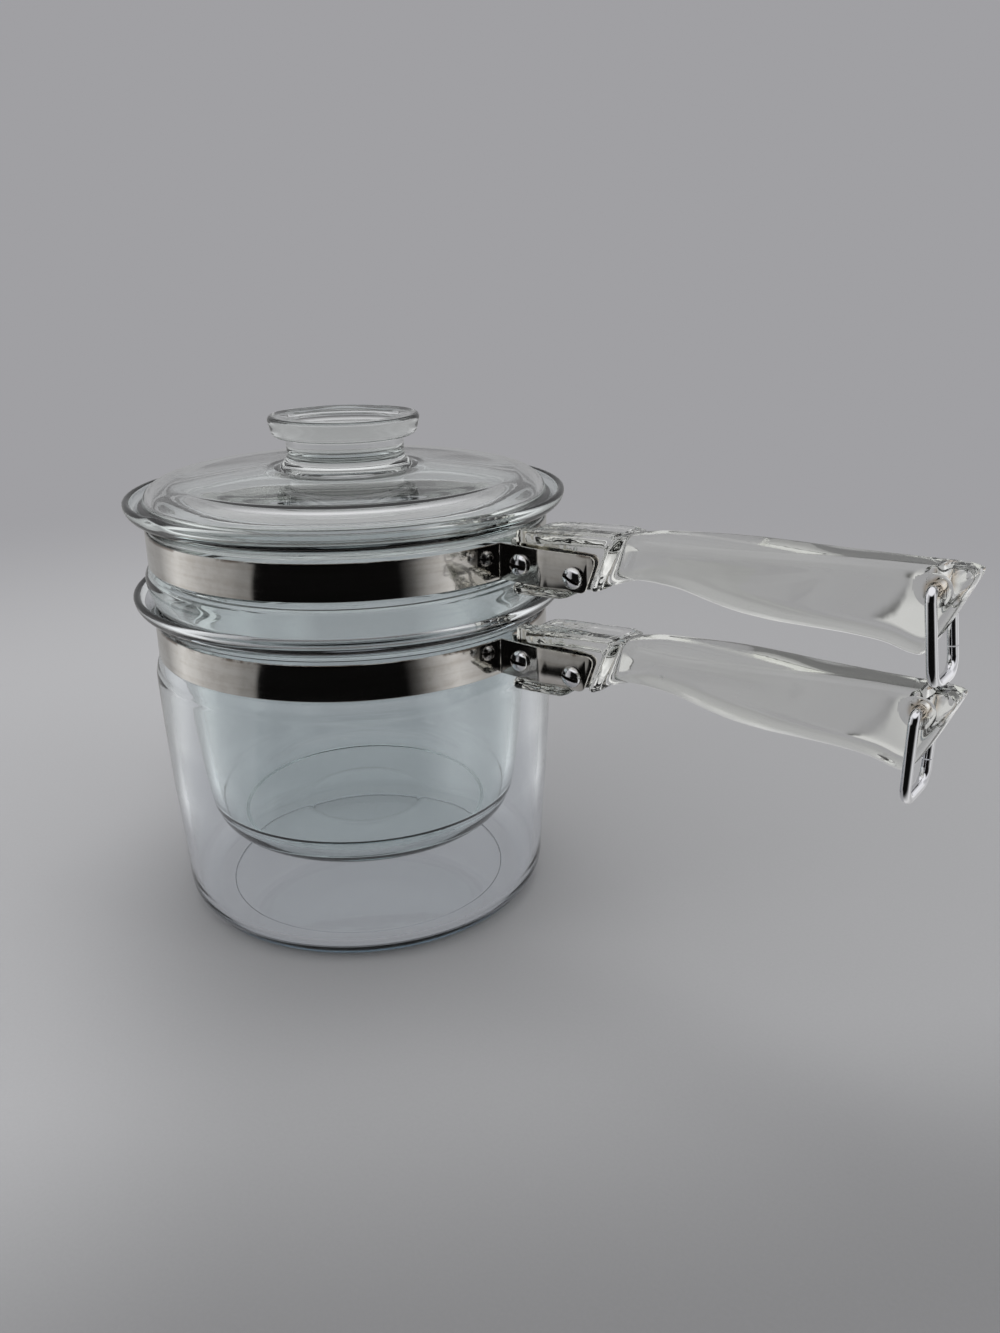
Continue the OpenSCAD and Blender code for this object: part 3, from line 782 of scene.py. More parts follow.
@dataclass(frozen=True)
class ClearGlass:
    """Clear pressed glass: its tint, its depth of colour, slow waves and small blemishes.

    The chilled glass starts at a distance from the axis, and a brown mark of rust and painted shade
    sits at places in x and z.
    """

    name: str
    tint: Colour = (0.97, 0.985, 0.99)
    stain: Colour = (0.80, 0.82, 0.80)
    depth_colour: Colour = (0.72, 0.85, 0.90)
    depth_density: float = 30.0
    wave_scale: float = 22.0
    wave_depth: float = 0.09
    chill: Colour = (0.97, 0.97, 0.91)
    chill_from: float = 0.0
    chill_w: float = 16.0
    mottle_scale: float = 260.0
    mottle_h: float = 5.0
    # rust and painted shade: the brown darkening round the ring's hole
    rust_and_shade: Colour = (0.50, 0.36, 0.22)
    rust_and_shade_at: tuple[Point, ...] = ()
    rust_and_shade_core_r: float = 2.0
    rust_and_shade_r: float = 3.6
    rust_and_shade_share: float = 0.85
    wear_range: Point = (0.58, 0.78)
    mottle_range: tuple[float, ...] = (0.35, 0.6, 0.3, 1.0)
    ior: float = 1.474

    def material(self, marks: NodeTree) -> Material:
        """Builds the glass from the shared group of small marks.

        Args:
            marks: The group of small marks.

        Returns:
            The material.
        """
        f = Finish(self.name, IOR=self.ior, Transmission_Weight=1.0, Metallic=0.0)
        group = f.group(marks, Vector=f.place, Wave_Scale=self.wave_scale, Wear_Scale=420.0,
                        Speck_Scale=85.0, Speck_Share=0.035).outputs
        wear, speck = f.ramp(group["Wear"], *self.wear_range), group["Speck"]
        colour = f.mix(f.most(f.times(wear, 0.12), speck), self.tint, self.stain)
        height = f.plus(group["Wave"], f.times(speck, 0.3))
        if self.chill_from:
            near = f.ramp(f.parts(f.place)[0], self.chill_from * MM,
                          (self.chill_from + self.chill_w) * MM, 1.0, 0.0)
            mottle = f.noise(f.place, self.mottle_scale, 1.0)
            colour = f.mix(f.times(near, f.ramp(mottle, *self.mottle_range)), colour, self.chill)
            height = f.plus(height, f.times(mottle, f.plus(f.times(near, self.mottle_h), 0.12)))
        # each place, here the ring's hole, gets a brown mark that is rust and painted shade
        for x, z in self.rust_and_shade_at:
            flat = f.add("ShaderNodeVectorMath", {0: f.place, 1: (1.0, 0.0, 1.0)},
                         operation="MULTIPLY")
            away = f.add("ShaderNodeVectorMath", {0: flat.outputs[0], 1: (x * MM, 0.0, z * MM)},
                         operation="DISTANCE").outputs["Value"]
            hole_rust_and_shade = f.ramp(away, self.rust_and_shade_core_r * MM, self.rust_and_shade_r * MM, self.rust_and_shade_share, 0.0)
            colour = f.mix(hole_rust_and_shade, colour, self.rust_and_shade)
        f.feed("Base Color", colour)
        f.feed("Roughness", f.plus(f.times(wear, 0.02), f.times(speck, 0.3)))
        f.bump(height, self.wave_depth)
        depth = f.add("ShaderNodeVolumeAbsorption",
                      {"Color": (*self.depth_colour, 1.0), "Density": self.depth_density})
        f.tree.links.new(depth.outputs[0], f.output.inputs["Volume"])
        return f.material


@dataclass(frozen=True)
class BrushedSteel:
    """Polished strip steel with fine lines along its length and small scratches."""

    name: str
    colour: Colour = (0.62, 0.60, 0.57)
    worn: Colour = (0.48, 0.45, 0.41)
    smooth: float = 0.05
    rough: float = 0.12
    line_depth: float = 0.002
    residue: Colour = (0.10, 0.06, 0.035)
    edges_z: tuple[float, ...] = (115.8, 149.9)
    residue_low: float = 0.2
    residue_high: float = 1.1
    residue_range: tuple[float, ...] = (0.66, 0.76, 0.0, 0.75)
    worn_range: tuple[float, ...] = (0.45, 0.85, 0.0, 0.8)
    line_range: Point = (0.4, 1.0)

    def material(self, marks: NodeTree, brushing: NodeTree) -> Material:
        """Builds the steel from the shared groups of marks and brushed lines.

        Args:
            marks: The group of small marks.
            brushing: The group of brushed lines.

        Returns:
            The material.
        """
        f = Finish(self.name, Metallic=1.0)
        lines = f.group(brushing,
                        Vector=f.add("ShaderNodeUVMap", uv_map=STRIP_MAP).outputs[0]).outputs
        group = f.group(marks, Vector=f.place, Wave_Scale=45.0, Wear_Scale=260.0, Speck_Scale=120.0,
                        Speck_Share=0.05).outputs
        height = f.parts(f.place)[2]
        gaps = [f.math("ABSOLUTE", f.minus(height, z * MM)) for z in self.edges_z]
        edge = f.ramp(f.math("MINIMUM", *gaps), self.residue_low * MM, self.residue_high * MM, 1.0,
                      0.0)
        patchy = f.ramp(f.plus(group["Wave"], f.times(group["Wear"], 0.35)), *self.residue_range)
        tone = f.plus(f.times(lines["Bands"], 0.7), f.times(group["Wear"], 0.5))
        steel = f.mix(f.ramp(tone, *self.worn_range), self.colour, self.worn)
        f.feed("Base Color", f.mix(f.times(edge, patchy), steel, self.residue))
        f.feed("Roughness",
               f.ramp(f.plus(lines["Lines"], f.times(group["Wear"], 0.4)), *self.line_range,
                      self.smooth, self.rough))
        f.bump(f.plus(lines["Lines"], f.times(group["Wave"], 2.0)), self.line_depth)
        return f.material


@dataclass(frozen=True)
class Chrome:
    """Bright plating with hairline wear, dull specks, a stain where something rubs, and near-black
    faces inside slots that are grime and painted shade.
    """

    name: str
    colour: Colour = (0.80, 0.80, 0.82)
    stain: Colour = (0.34, 0.26, 0.20)
    # near black inside the slots: grime and painted shade
    grime_and_shade: Colour = (0.035, 0.03, 0.027)
    stain_share: float = 0.10
    roughness: float = 0.06
    wear_depth: float = 0.01
    wear_range: Point = (0.5, 0.75)
    stain_range: Point = (0.62, 0.70)

    def material(self, marks: NodeTree) -> Material:
        """Builds the plating from the shared group of small marks.

        Args:
            marks: The group of small marks.

        Returns:
            The material.
        """
        f = Finish(self.name, Metallic=1.0)
        group = f.group(marks, Vector=f.place, Wave_Scale=90.0, Wear_Scale=900.0, Speck_Scale=420.0,
                        Speck_Share=0.06).outputs
        wear = f.ramp(group["Wear"], *self.wear_range)
        spot = f.ramp(group["Wave"], *self.stain_range)
        dull = f.most(f.times(spot, self.stain_share), group["Speck"])
        # the faces inside a slot: near-black grime and painted shade in the recess
        grime_and_shade = f.add("ShaderNodeAttribute", attribute_name=GRIME_AND_SHADE_MASK).outputs["Fac"]
        f.feed("Base Color", f.mix(grime_and_shade, f.mix(dull, self.colour, self.stain), self.grime_and_shade))
        rough = f.plus(f.times(wear, 0.10), f.times(f.most(dull, grime_and_shade), 0.3))
        f.feed("Roughness", f.plus(self.roughness, rough))
        f.bump(f.minus(f.times(group["Wear"], 0.4), group["Speck"]), self.wear_depth)
        return f.material


# The glass


@dataclass(frozen=True)
class Rim:
    """The neck and the flared rim that both pans share."""

    neck_r: float = 73.6
    wall: float = 3.4
    rim_wall: float = 2.5
    flare_w: float = 7.4
    flare_h: float = 9.6
    flare_open: float = 0.96
    neck_over: float = 0.9
    band_w: float = 12.7

    @property
    def rim_r(self) -> float:
        """Radius of the rim at its widest point."""
        return self.neck_r + self.flare_w

    @property
    def band_bottom(self) -> float:
        """Height of the band's lower edge from the rim's widest point."""
        return -self.flare_h - self.band_w

    def flare_out(self, z: float) -> list[Point]:
        """The outside of the flare, up to a rim at height z.

        Args:
            z: The rim's height.

        Returns:
            The points, upwards.
        """
        foot_z = z - self.flare_h + self.neck_over
        open_r = lerp(self.neck_r, self.rim_r, self.flare_open)
        return bezier((self.neck_r, foot_z), (self.neck_r + 0.6, foot_z + self.flare_h * 0.36),
                      (open_r, z - self.flare_h * 0.56), (self.rim_r, z), 28)

    def lip(self, z: float) -> list[Point]:
        """The lip's round edge, from the outside over the top to the inside."""
        return arc((self.rim_r - self.rim_wall / 2, z), self.rim_wall / 2, 10, 170, 14)

    def flare_in(self, z: float) -> list[Point]:
        """The inside of the flare, from the lip down to the neck.

        Args:
            z: The rim's height.

        Returns:
            The points, downwards.
        """
        out = self.flare_out(z)
        last = len(out) - 1
        thin, thick = beside(out, self.rim_wall), beside(out, self.wall)
        shares = [min(1.0, i / last * 1.6) for i in range(last + 1)]
        return [(lerp(thick[i][0], thin[i][0], shares[i]), lerp(thick[i][1], thin[i][1], shares[i]))
                for i in range(last - 1, -1, -1)]

    def edge(self, z: float) -> list[Point]:
        """The whole flare, up its outside, over the lip and down its inside."""
        return self.flare_out(z) + self.lip(z) + self.flare_in(z)

    def ledge_z(self, r: float, z: float) -> float:
        """Height of the inner ledge at radius r, for a rim at height z."""
        ledge = sorted(q for q in self.flare_in(z) if q[1] < z - 0.6)
        return float(np.interp(r, [q[0] for q in ledge], [q[1] for q in ledge]))


@dataclass(frozen=True)
class PourLip:
    """A place where a rim is drawn out and down to pour over."""

    angle: float
    width: float = 3.2
    reach: float = 0.6
    drop: float = 0.7
    depth: float = 3.6


@dataclass
class TurnedPiece:
    """A piece of glass with a round profile, turned by the shared tree."""

    name: str
    placement: Placement
    rim_z: float = 0.0
    pour: PourLip = field(default_factory=lambda: PourLip(0.0, reach=0.0, drop=0.0))
    segments: int = 240
    soft_r: float = 0.8

    def profile(self) -> list[Point]:
        """The outline from the axis at the bottom, round the outside, to the axis at the top."""
        raise NotImplementedError

    def build(self, tree: NodeTree, material: Material) -> None:
        """Turns the profile, dresses it and hands it to the frame.

        Args:
            tree: The turning tree.
            material: The glass.
        """
        outline = polyline(self.name + "_profile", [(r, 0.0, z) for r, z in self.profile()])
        piece = run_tree(self.name, outline, tree, {
            "Segments": self.segments, "Rim Height": self.rim_z * MM,
            "Lip Depth": self.pour.depth * MM,
            "Pour Angle": math.radians(self.pour.angle),
            "Pour Width": math.radians(self.pour.width),
            "Pour Reach": self.pour.reach * MM, "Pour Drop": self.pour.drop * MM,
            "Material": material})
        self.placement.place(piece)


@dataclass
class LowerPan(TurnedPiece):
    """The lower pan, from its foot up to its rim.

    The hollow's edge is given in shares of its depth, and the wall in shares of the foot's draw
    and of the belly's height.
    """

    rim: Rim = field(default_factory=Rim)
    belly_bulge: float = 2.5
    belly_drop: float = 12.2
    foot_draw: float = 3.7
    corner_r: float = 10.0
    base_t: float = 4.6
    foot_ring_w: float = 6.4
    foot_hollow_h: float = 0.8
    hollow_edge: tuple[Point, ...] = ((2.2, 1.0), (0.9, 0.88), (0.45, 0.78), (0.38, 0.2))
    wall_shape: tuple[Point, ...] = ((0.34, 0.36), (0.74, 0.66))

    def side(self) -> list[Point]:
        """The outside from above the foot's corner up to the neck.

        Returns:
            The points, upwards.
        """
        neck_z = self.rim_z + self.rim.band_bottom - self.rim.neck_over
        belly_r, belly_z = self.rim.neck_r + self.belly_bulge, neck_z - self.belly_drop
        foot_r = belly_r - self.foot_draw
        return spline([(foot_r, self.corner_r * 0.95),
                       *((foot_r + self.foot_draw * out, belly_z * up)
                         for out, up in self.wall_shape),
                       (belly_r, belly_z),
                       (belly_r - self.belly_bulge * 0.12, belly_z + self.belly_drop * 0.62),
                       (self.rim.neck_r, neck_z)], 9)

    def profile(self) -> list[Point]:
        """The outline from the axis at the bottom, round the outside, to the axis at the top.

        Returns:
            The profile's points.
        """
        foot_r = self.rim.neck_r + self.belly_bulge - self.foot_draw
        hollow_r = foot_r - self.corner_r - self.foot_ring_w
        corner = (foot_r - self.corner_r, self.corner_r)
        r_in = self.corner_r - self.rim.wall
        corner_in = (corner[0], self.base_t + r_in)
        inner = [q for q in beside(self.side(), self.rim.wall) if q[1] > corner_in[1] + 0.4]
        h = self.foot_hollow_h
        under = [(0.0, h), (hollow_r * 0.5, h),
                 *((hollow_r - back * h, h * up) for back, up in self.hollow_edge), (hollow_r, 0.0)]
        return softened(
            under + arc(corner, self.corner_r, -90, -8, 18) + self.side()
            + self.rim.edge(self.rim_z)
            + inner[::-1] + arc(corner_in, r_in, -90, -8, 14)[::-1]
            + [(corner_in[0] * 0.6, self.base_t), (0.0, self.base_t)], self.soft_r)


@dataclass
class UpperPan(TurnedPiece):
    """The upper pan, from its bottom up through the seat on the lower rim to its own rim.

    The wall is given in shares of the body's taper and of its height.
    """

    rim: Rim = field(default_factory=Rim)
    lower_rim_z: float = 125.4
    shoulder_bulge: float = 2.4
    shoulder_drop: float = 4.5
    nest_gap: float = 3.6
    body_taper: float = 5.0
    nest_depth: float = 94.8
    corner_r: float = 13.0
    base_t: float = 4.6
    seat_gap: float = 0.3
    wall_shape: tuple[Point, ...] = ((0.2, 0.3), (0.72, 0.66))
    mould_rings: tuple[float, ...] = (24.0, 47.0)
    mould_ring_h: float = 0.14
    mould_ring_w: float = 2.8

    @property
    def bottom_z(self) -> float:
        """Height of the pan's underside."""
        return self.lower_rim_z - self.nest_depth

    def side(self) -> list[Point]:
        """The outside from above the bottom corner up to the neck.

        Returns:
            The points, upwards.
        """
        rim = self.rim
        neck_z = self.rim_z + rim.band_bottom - rim.neck_over
        shoulder_r, shoulder_z = rim.neck_r + self.shoulder_bulge, neck_z - self.shoulder_drop
        seat_r = rim.neck_r - rim.wall * 0.35
        seat_z = rim.ledge_z(seat_r, self.lower_rim_z) + self.seat_gap * 2.2
        top_r = rim.neck_r - rim.wall - self.nest_gap
        low_r = top_r - self.body_taper
        top_z = self.lower_rim_z + rim.band_bottom + rim.band_w / 2
        body_h = top_z - self.bottom_z
        return spline([(low_r - self.corner_r * 0.0544, self.bottom_z + self.corner_r * 0.9),
                       *((low_r + self.body_taper * out, self.bottom_z + body_h * up)
                         for out, up in self.wall_shape),
                       (top_r, top_z),
                       (top_r + (seat_r - top_r) * 0.1, seat_z - rim.flare_h * 0.56),
                       (seat_r, seat_z),
                       ((seat_r + shoulder_r) / 2 + self.shoulder_bulge * 0.25,
                        (seat_z + shoulder_z) / 2 - self.shoulder_drop * 0.1),
                       (shoulder_r, shoulder_z),
                       (shoulder_r - self.shoulder_bulge * 0.3, neck_z - self.shoulder_drop * 0.38),
                       (rim.neck_r, neck_z)], 8)

    def profile(self) -> list[Point]:
        """The outline from the axis at the bottom, round the outside, to the axis at the top.

        Returns:
            The profile's points.
        """
        rim, low = self.rim, self.bottom_z
        low_r = rim.neck_r - rim.wall - self.nest_gap - self.body_taper
        corner = (low_r - self.corner_r * 1.085, low + self.corner_r)
        r_in = self.corner_r - rim.wall
        corner_in = (corner[0], low + self.base_t + r_in)
        inner = [q for q in beside(self.side(), rim.wall) if q[1] > corner_in[1] - r_in * 0.2]
        under = [(0.0, low)]
        for ring in self.mould_rings:
            under += moulded_ring(ring, low, self.mould_ring_h, self.mould_ring_w)
        return softened(
            under + arc(corner, self.corner_r, -90, -14, 18) + self.side() + rim.edge(self.rim_z)
            + inner[::-1] + arc(corner_in, r_in, -90, -14, 14)[::-1]
            + [(corner_in[0] * 0.6, low + self.base_t), (0.0, low + self.base_t)], self.soft_r)


@dataclass
class Lid(TurnedPiece):
    """The lid: a skirt in the neck, a flange on the rim's ledge, a low dome and the dished knob."""

    rim: Rim = field(default_factory=Rim)
    upper_rim_z: float = 159.5
    reach: float = 2.4
    step: float = 2.2
    edge_t: float = 1.8
    side_h: float = 1.6
    round_r: float = 5.0
    rise: float = 3.6
    flank_w: float = 12.0
    flank_h: float = 6.3
    inner_w: float = 9.4
    inner_h: float = 4.0
    thick: float = 3.4
    skirt_h: float = 6.5
    skirt_t: float = 2.6
    skirt_fit: float = 0.9
    seat_gap: float = 0.3
    knob_r: float = 27.7
    knob_waist_r: float = 21.6
    knob_foot_w: float = 5.0
    knob_h: float = 18.8
    knob_edge_r: float = 1.5
    knob_dish: float = 1.8
    disc_share: float = 0.6
    disc_low_r: float = 26.7
    dish_r: float = 19.0
    step_r: float = 1.3
    disc_corner_r: float = 2.0
    dome_power: float = 1.7
    soft_r: float = 1.0

    def knob(self, top: float) -> list[Point]:
        """The knob's outside and its dished top, on a lid whose top is at that height.

        Args:
            top: The height of the lid's top.

        Returns:
            The points, from the foot to the axis.
        """
        knob_top, edge = top + self.knob_h, self.knob_edge_r
        waist, foot_r = self.knob_waist_r, self.knob_waist_r + self.knob_foot_w
        under_z = top + self.knob_h * self.disc_share
        flank = bezier((foot_r - 0.3, top + 0.1), (waist + 1.4, top + 0.6),
                       (waist - 0.2, top + self.knob_h * 0.2), (waist, top + self.knob_h * 0.32),
                       14)
        step = arc((waist + self.step_r, under_z - self.step_r), self.step_r, 180, 100, 6)
        corner = arc((self.disc_low_r - self.disc_corner_r, under_z + 1.9), self.disc_corner_r, -78,
                     -14, 10)
        side = bezier((self.disc_low_r + 0.05, under_z + 1.9),
                      (self.disc_low_r + 0.3, under_z + 2.8),
                      (self.knob_r - 0.15, knob_top - 3.2),
                      (self.knob_r - 0.02, knob_top - edge * 1.3), 8)
        dish = spline([(self.knob_r - edge * 1.7, knob_top - 0.08),
                       (self.knob_r - 4.2, knob_top - 0.3),
                       (self.dish_r + 1.6, knob_top - 0.75),
                       (self.dish_r, knob_top - self.knob_dish * 0.8),
                       (self.dish_r - 2.2, knob_top - self.knob_dish),
                       (self.dish_r * 0.5, knob_top - self.knob_dish * 1.1),
                       (0.0, knob_top - self.knob_dish * 1.15)], 6)
        rim = arc((self.knob_r - edge, knob_top - edge), edge, 0, 100, 12)
        return flank + step + corner + side + rim + dish

    def crown(self, start: float, end: float, level: float) -> list[Point]:
        """The low dome inside the flank, from one radius in to another.

        Args:
            start: The radius where it starts.
            end: The radius where it ends.
            level: The height of the flank's foot.

        Returns:
            The points, inwards.
        """
        rise = self.round_r + self.rise - self.flank_h
        return [(lerp(start, end, t),
                 level + self.flank_h + rise * (1 - (1 - t) ** self.dome_power))
                for t in np.arange(1, 16) / 15]

    def profile(self) -> list[Point]:
        """The outline from the axis underneath, round the skirt and the top, back to the axis.

        Returns:
            The profile's points.
        """
        rim = self.rim
        flange_r = rim.neck_r + self.reach
        side_r = flange_r - self.step
        ledge_z = rim.ledge_z(flange_r - self.edge_t / 2, self.upper_rim_z)
        flange_z = ledge_z + self.seat_gap + 0.2
        side_top = flange_z + self.edge_t + self.side_h
        top = side_top + self.round_r + self.rise
        skirt_r = rim.neck_r - rim.wall - self.skirt_fit
        foot_r = self.knob_waist_r + self.knob_foot_w
        side_in = side_r - self.thick
        round_in = (side_in - self.inner_w, side_top + self.flank_h - self.thick - self.inner_h)
        low = flange_z - self.skirt_h
        dome_r = side_r - self.flank_w
        under = [(0.0, top - self.thick + 1.2), (self.knob_waist_r * 0.5, top - self.thick + 1.1),
                 (self.knob_waist_r, top - self.thick + 0.5)]
        under += self.crown(round_in[0], foot_r, side_top - self.thick)[-2::-1]
        under += flattened(arc(round_in, self.inner_w, 0, 84, 16)[::-1], round_in[1],
                           self.inner_h / self.inner_w)
        under += [(side_in, flange_z + self.edge_t + 1), (side_in - 0.8, flange_z + 0.8),
                  (skirt_r - self.skirt_t, flange_z - 1.6), (skirt_r - self.skirt_t, low + 1),
                  (skirt_r - self.skirt_t / 2, low), (skirt_r - 0.3, low + 0.6), (skirt_r, low + 2),
                  (skirt_r, ledge_z - 3.4), (skirt_r + 1.4, ledge_z - 1.2),
                  (flange_r - 2.4, flange_z - 0.1)]
        edge = arc((flange_r - self.edge_t / 2, flange_z + self.edge_t / 2), self.edge_t / 2, -90,
                   80, 12)
        dome = flattened(arc((dome_r, side_top), self.flank_w, 0, 84, 20), side_top,
                         self.flank_h / self.flank_w)
        dome += self.crown(dome_r, foot_r, side_top)
        shoulder = (side_r + 0.3, flange_z + self.edge_t + 0.3)
        return softened(under + edge + [shoulder] + dome + self.knob(top), self.soft_r)


# The bands and what holds the handles


@dataclass(frozen=True)
class Band:
    """The steel strip round a neck, whose two ends fold out into the ears beside the handle."""

    rim: Rim = field(default_factory=Rim)
    strip_t: float = 0.8
    fit: float = 0.05
    half_gap: float = 2.7
    bend: float = 17.6
    length: float = 38.4
    end_lean: float = 4.2
    spread: float = 2.3
    close: float = 5.0
    bend_reach: float = 3.0
    corner_r: float = 2.2
    fold_r: float = 0.9
    edge_r: float = 0.16
    hole_d: float = 4.3

    @property
    def top(self) -> float:
        """Height of the strip's upper edge from its own rim."""
        return -self.rim.flare_h

    @property
    def middle(self) -> float:
        """Height of the strip's middle from its own rim."""
        return self.top - self.rim.band_w / 2

    @property
    def outer_r(self) -> float:
        """Outer radius of the strip round the neck."""
        return self.rim.neck_r + self.fit + self.strip_t

    @property
    def fold(self) -> Point:
        """Middle of the fold on the camera side, in plan."""
        y = self.half_gap + self.strip_t + self.fold_r
        return math.sqrt((self.outer_r + self.fold_r) ** 2 - y * y), -y

    @property
    def bend_x(self) -> float:
        """Distance of the bend in the ears from the axis."""
        return self.rim.neck_r + self.bend

    @property
    def end_x(self) -> float:
        """Distance of the ears' upper corner from the axis."""
        return self.rim.neck_r + self.length

    @property
    def lean(self) -> float:
        """Angle of the ears' slanted ends from level."""
        return math.atan2(self.rim.band_w, self.end_lean)

    def ear_y(self, x: float) -> float:
        """Distance of an ear's inner face from the handle's middle plane, at x.

        Args:
            x: The distance from the axis.

        Returns:
            The distance of the face.
        """
        spread, close = math.tan(math.radians(self.spread)), math.tan(math.radians(self.close))
        out = self.half_gap + (x - self.fold[0]) * spread
        back = self.half_gap + (self.bend_x - self.fold[0]) * spread - (x - self.bend_x) * close
        t = min(1.0, max(0.0, (x - self.bend_x + self.bend_reach) / (2 * self.bend_reach)))
        return lerp(out, back, t * t * (3 - 2 * t))

    def ear_span(self, x: float) -> Point:
        """Lowest and highest point of an ear at x, inside its slanted end and rounded corners.

        Args:
            x: The distance from the axis.

        Returns:
            The lowest and the highest point.
        """
        low, high, r = self.top - self.rim.band_w, self.top, self.corner_r
        slope, lean = self.rim.band_w / self.end_lean, self.lean
        upper, lower = r / math.tan(lean / 2), r * math.tan(lean / 2)
        top_c, low_c = self.end_x - upper, self.end_x - self.end_lean - lower
        if x > top_c:
            high = high - r + math.sqrt(max(0.0, r * r - (x - top_c) ** 2))
        if x > low_c:
            turn = x - low_c
            low = low + r - math.sqrt(max(0.0, r * r - turn * turn)) if turn < r * math.sin(lean) \
                else low + (x - (self.end_x - self.end_lean)) * slope
        return low, high

    def stations(self) -> list[tuple[Point, Point, float]]:
        """Pairs of outer and inner points in plan along one half, from the ear's end, with x.

        Returns:
            The stations, where x is 0 past the ear.
        """
        r, lean = self.corner_r, self.lean
        tip = self.end_x - r / math.tan(lean / 2) + r * math.sin(lean)
        start = self.end_x - self.end_lean - r * math.tan(lean / 2)
        xs = [tip - (tip - start) * (1 - math.cos(a)) for a in np.linspace(0.06, math.pi / 2, 22)]
        xs += list(np.linspace(start, self.bend_x + self.bend_reach, 8)[1:])
        xs += list(np.linspace(self.bend_x + self.bend_reach, self.bend_x - self.bend_reach,
                               14)[1:])
        xs += list(np.linspace(self.bend_x - self.bend_reach, self.fold[0], 10)[1:])
        out = [((x, -self.ear_y(x) - self.strip_t), (x, -self.ear_y(x)), x) for x in xs]
        fold_x, fold_y = self.fold
        for centre, outer, inner, begin, end, steps in (
                (self.fold, self.fold_r, self.fold_r + self.strip_t, 90,
                 math.degrees(math.atan2(-fold_y, -fold_x)), 12),
                ((0, 0), self.outer_r, self.outer_r - self.strip_t,
                 math.degrees(math.atan2(fold_y, fold_x)), -180, 150)):
            pairs = zip(arc(centre, outer, begin, end, steps)[1:],
                        arc(centre, inner, begin, end, steps)[1:])
            out += [(a, b, 0.0) for a, b in pairs]
        return out

    def section(self, outer: Point, inner: Point, low: float, high: float) -> list[Spot]:
        """A closed section of the strip, with its four edges rounded off.

        Args:
            outer: The strip's outer face in plan.
            inner: Its inner face in plan.
            low: Its lower edge.
            high: Its upper edge.

        Returns:
            The section's points.
        """
        a, b = Vector(outer), Vector(inner)
        flat = rounded_section(self.strip_t / 2, low, high, self.edge_r, 3)
        return [(*(a + (b - a) * (0.5 + y / self.strip_t)), z) for y, z in flat]

    def map_strip(self, obj: Object) -> None:
        """Maps the strip in metres along its length and height, for the brushed lines.

        Args:
            obj: The band.
        """
        layer = obj.data.uv_layers.new(name=STRIP_MAP)
        fold_x = self.fold[0] * MM
        turn = math.atan2(-self.fold[1], self.fold[0])
        for loop in obj.data.loops:
            p = obj.data.vertices[loop.vertex_index].co
            ear = p.x > fold_x and abs(p.y) < 0.012
            along = p.x - fold_x if ear else -(math.pi - abs(math.pi - abs(math.atan2(p.y, p.x)))
                                               - turn) * self.outer_r * MM
            layer.data[loop.index].uv = (math.copysign(along, along) + (0.7 if p.y > 0 else 0.0),
                                         p.z)

    def build(self, name: str, rim_z: float, screws: Sequence[Point], material: Material,
              placement: Placement) -> None:
        """Builds one band with its screw holes and hands it to the frame.

        Args:
            name: The piece's name.
            rim_z: Height of the rim above it.
            screws: The places of the screws, in x and in height from the rim.
            material: Its finish.
            placement: Where it belongs.
        """
        half = self.stations()
        full = [self.ear_span(x) if x else (self.top - self.rim.band_w, self.top)
                for _, _, x in half]
        rings = [self.section(a, b, low, high) for (a, b, _), (low, high) in zip(half, full)]
        rings += [[(x, -y, z) for x, y, z in ring] for ring in rings[-2::-1]]
        piece = loft(name, rings)
        for x, z in screws:
            cut(piece, pin("hole", x, z, [(-12.0, self.hole_d / 2), (12.0, self.hole_d / 2)], 48))
        self.map_strip(raised(piece, rim_z))
        shade_smooth(piece, 38)
        placement.place(coated(piece, material))


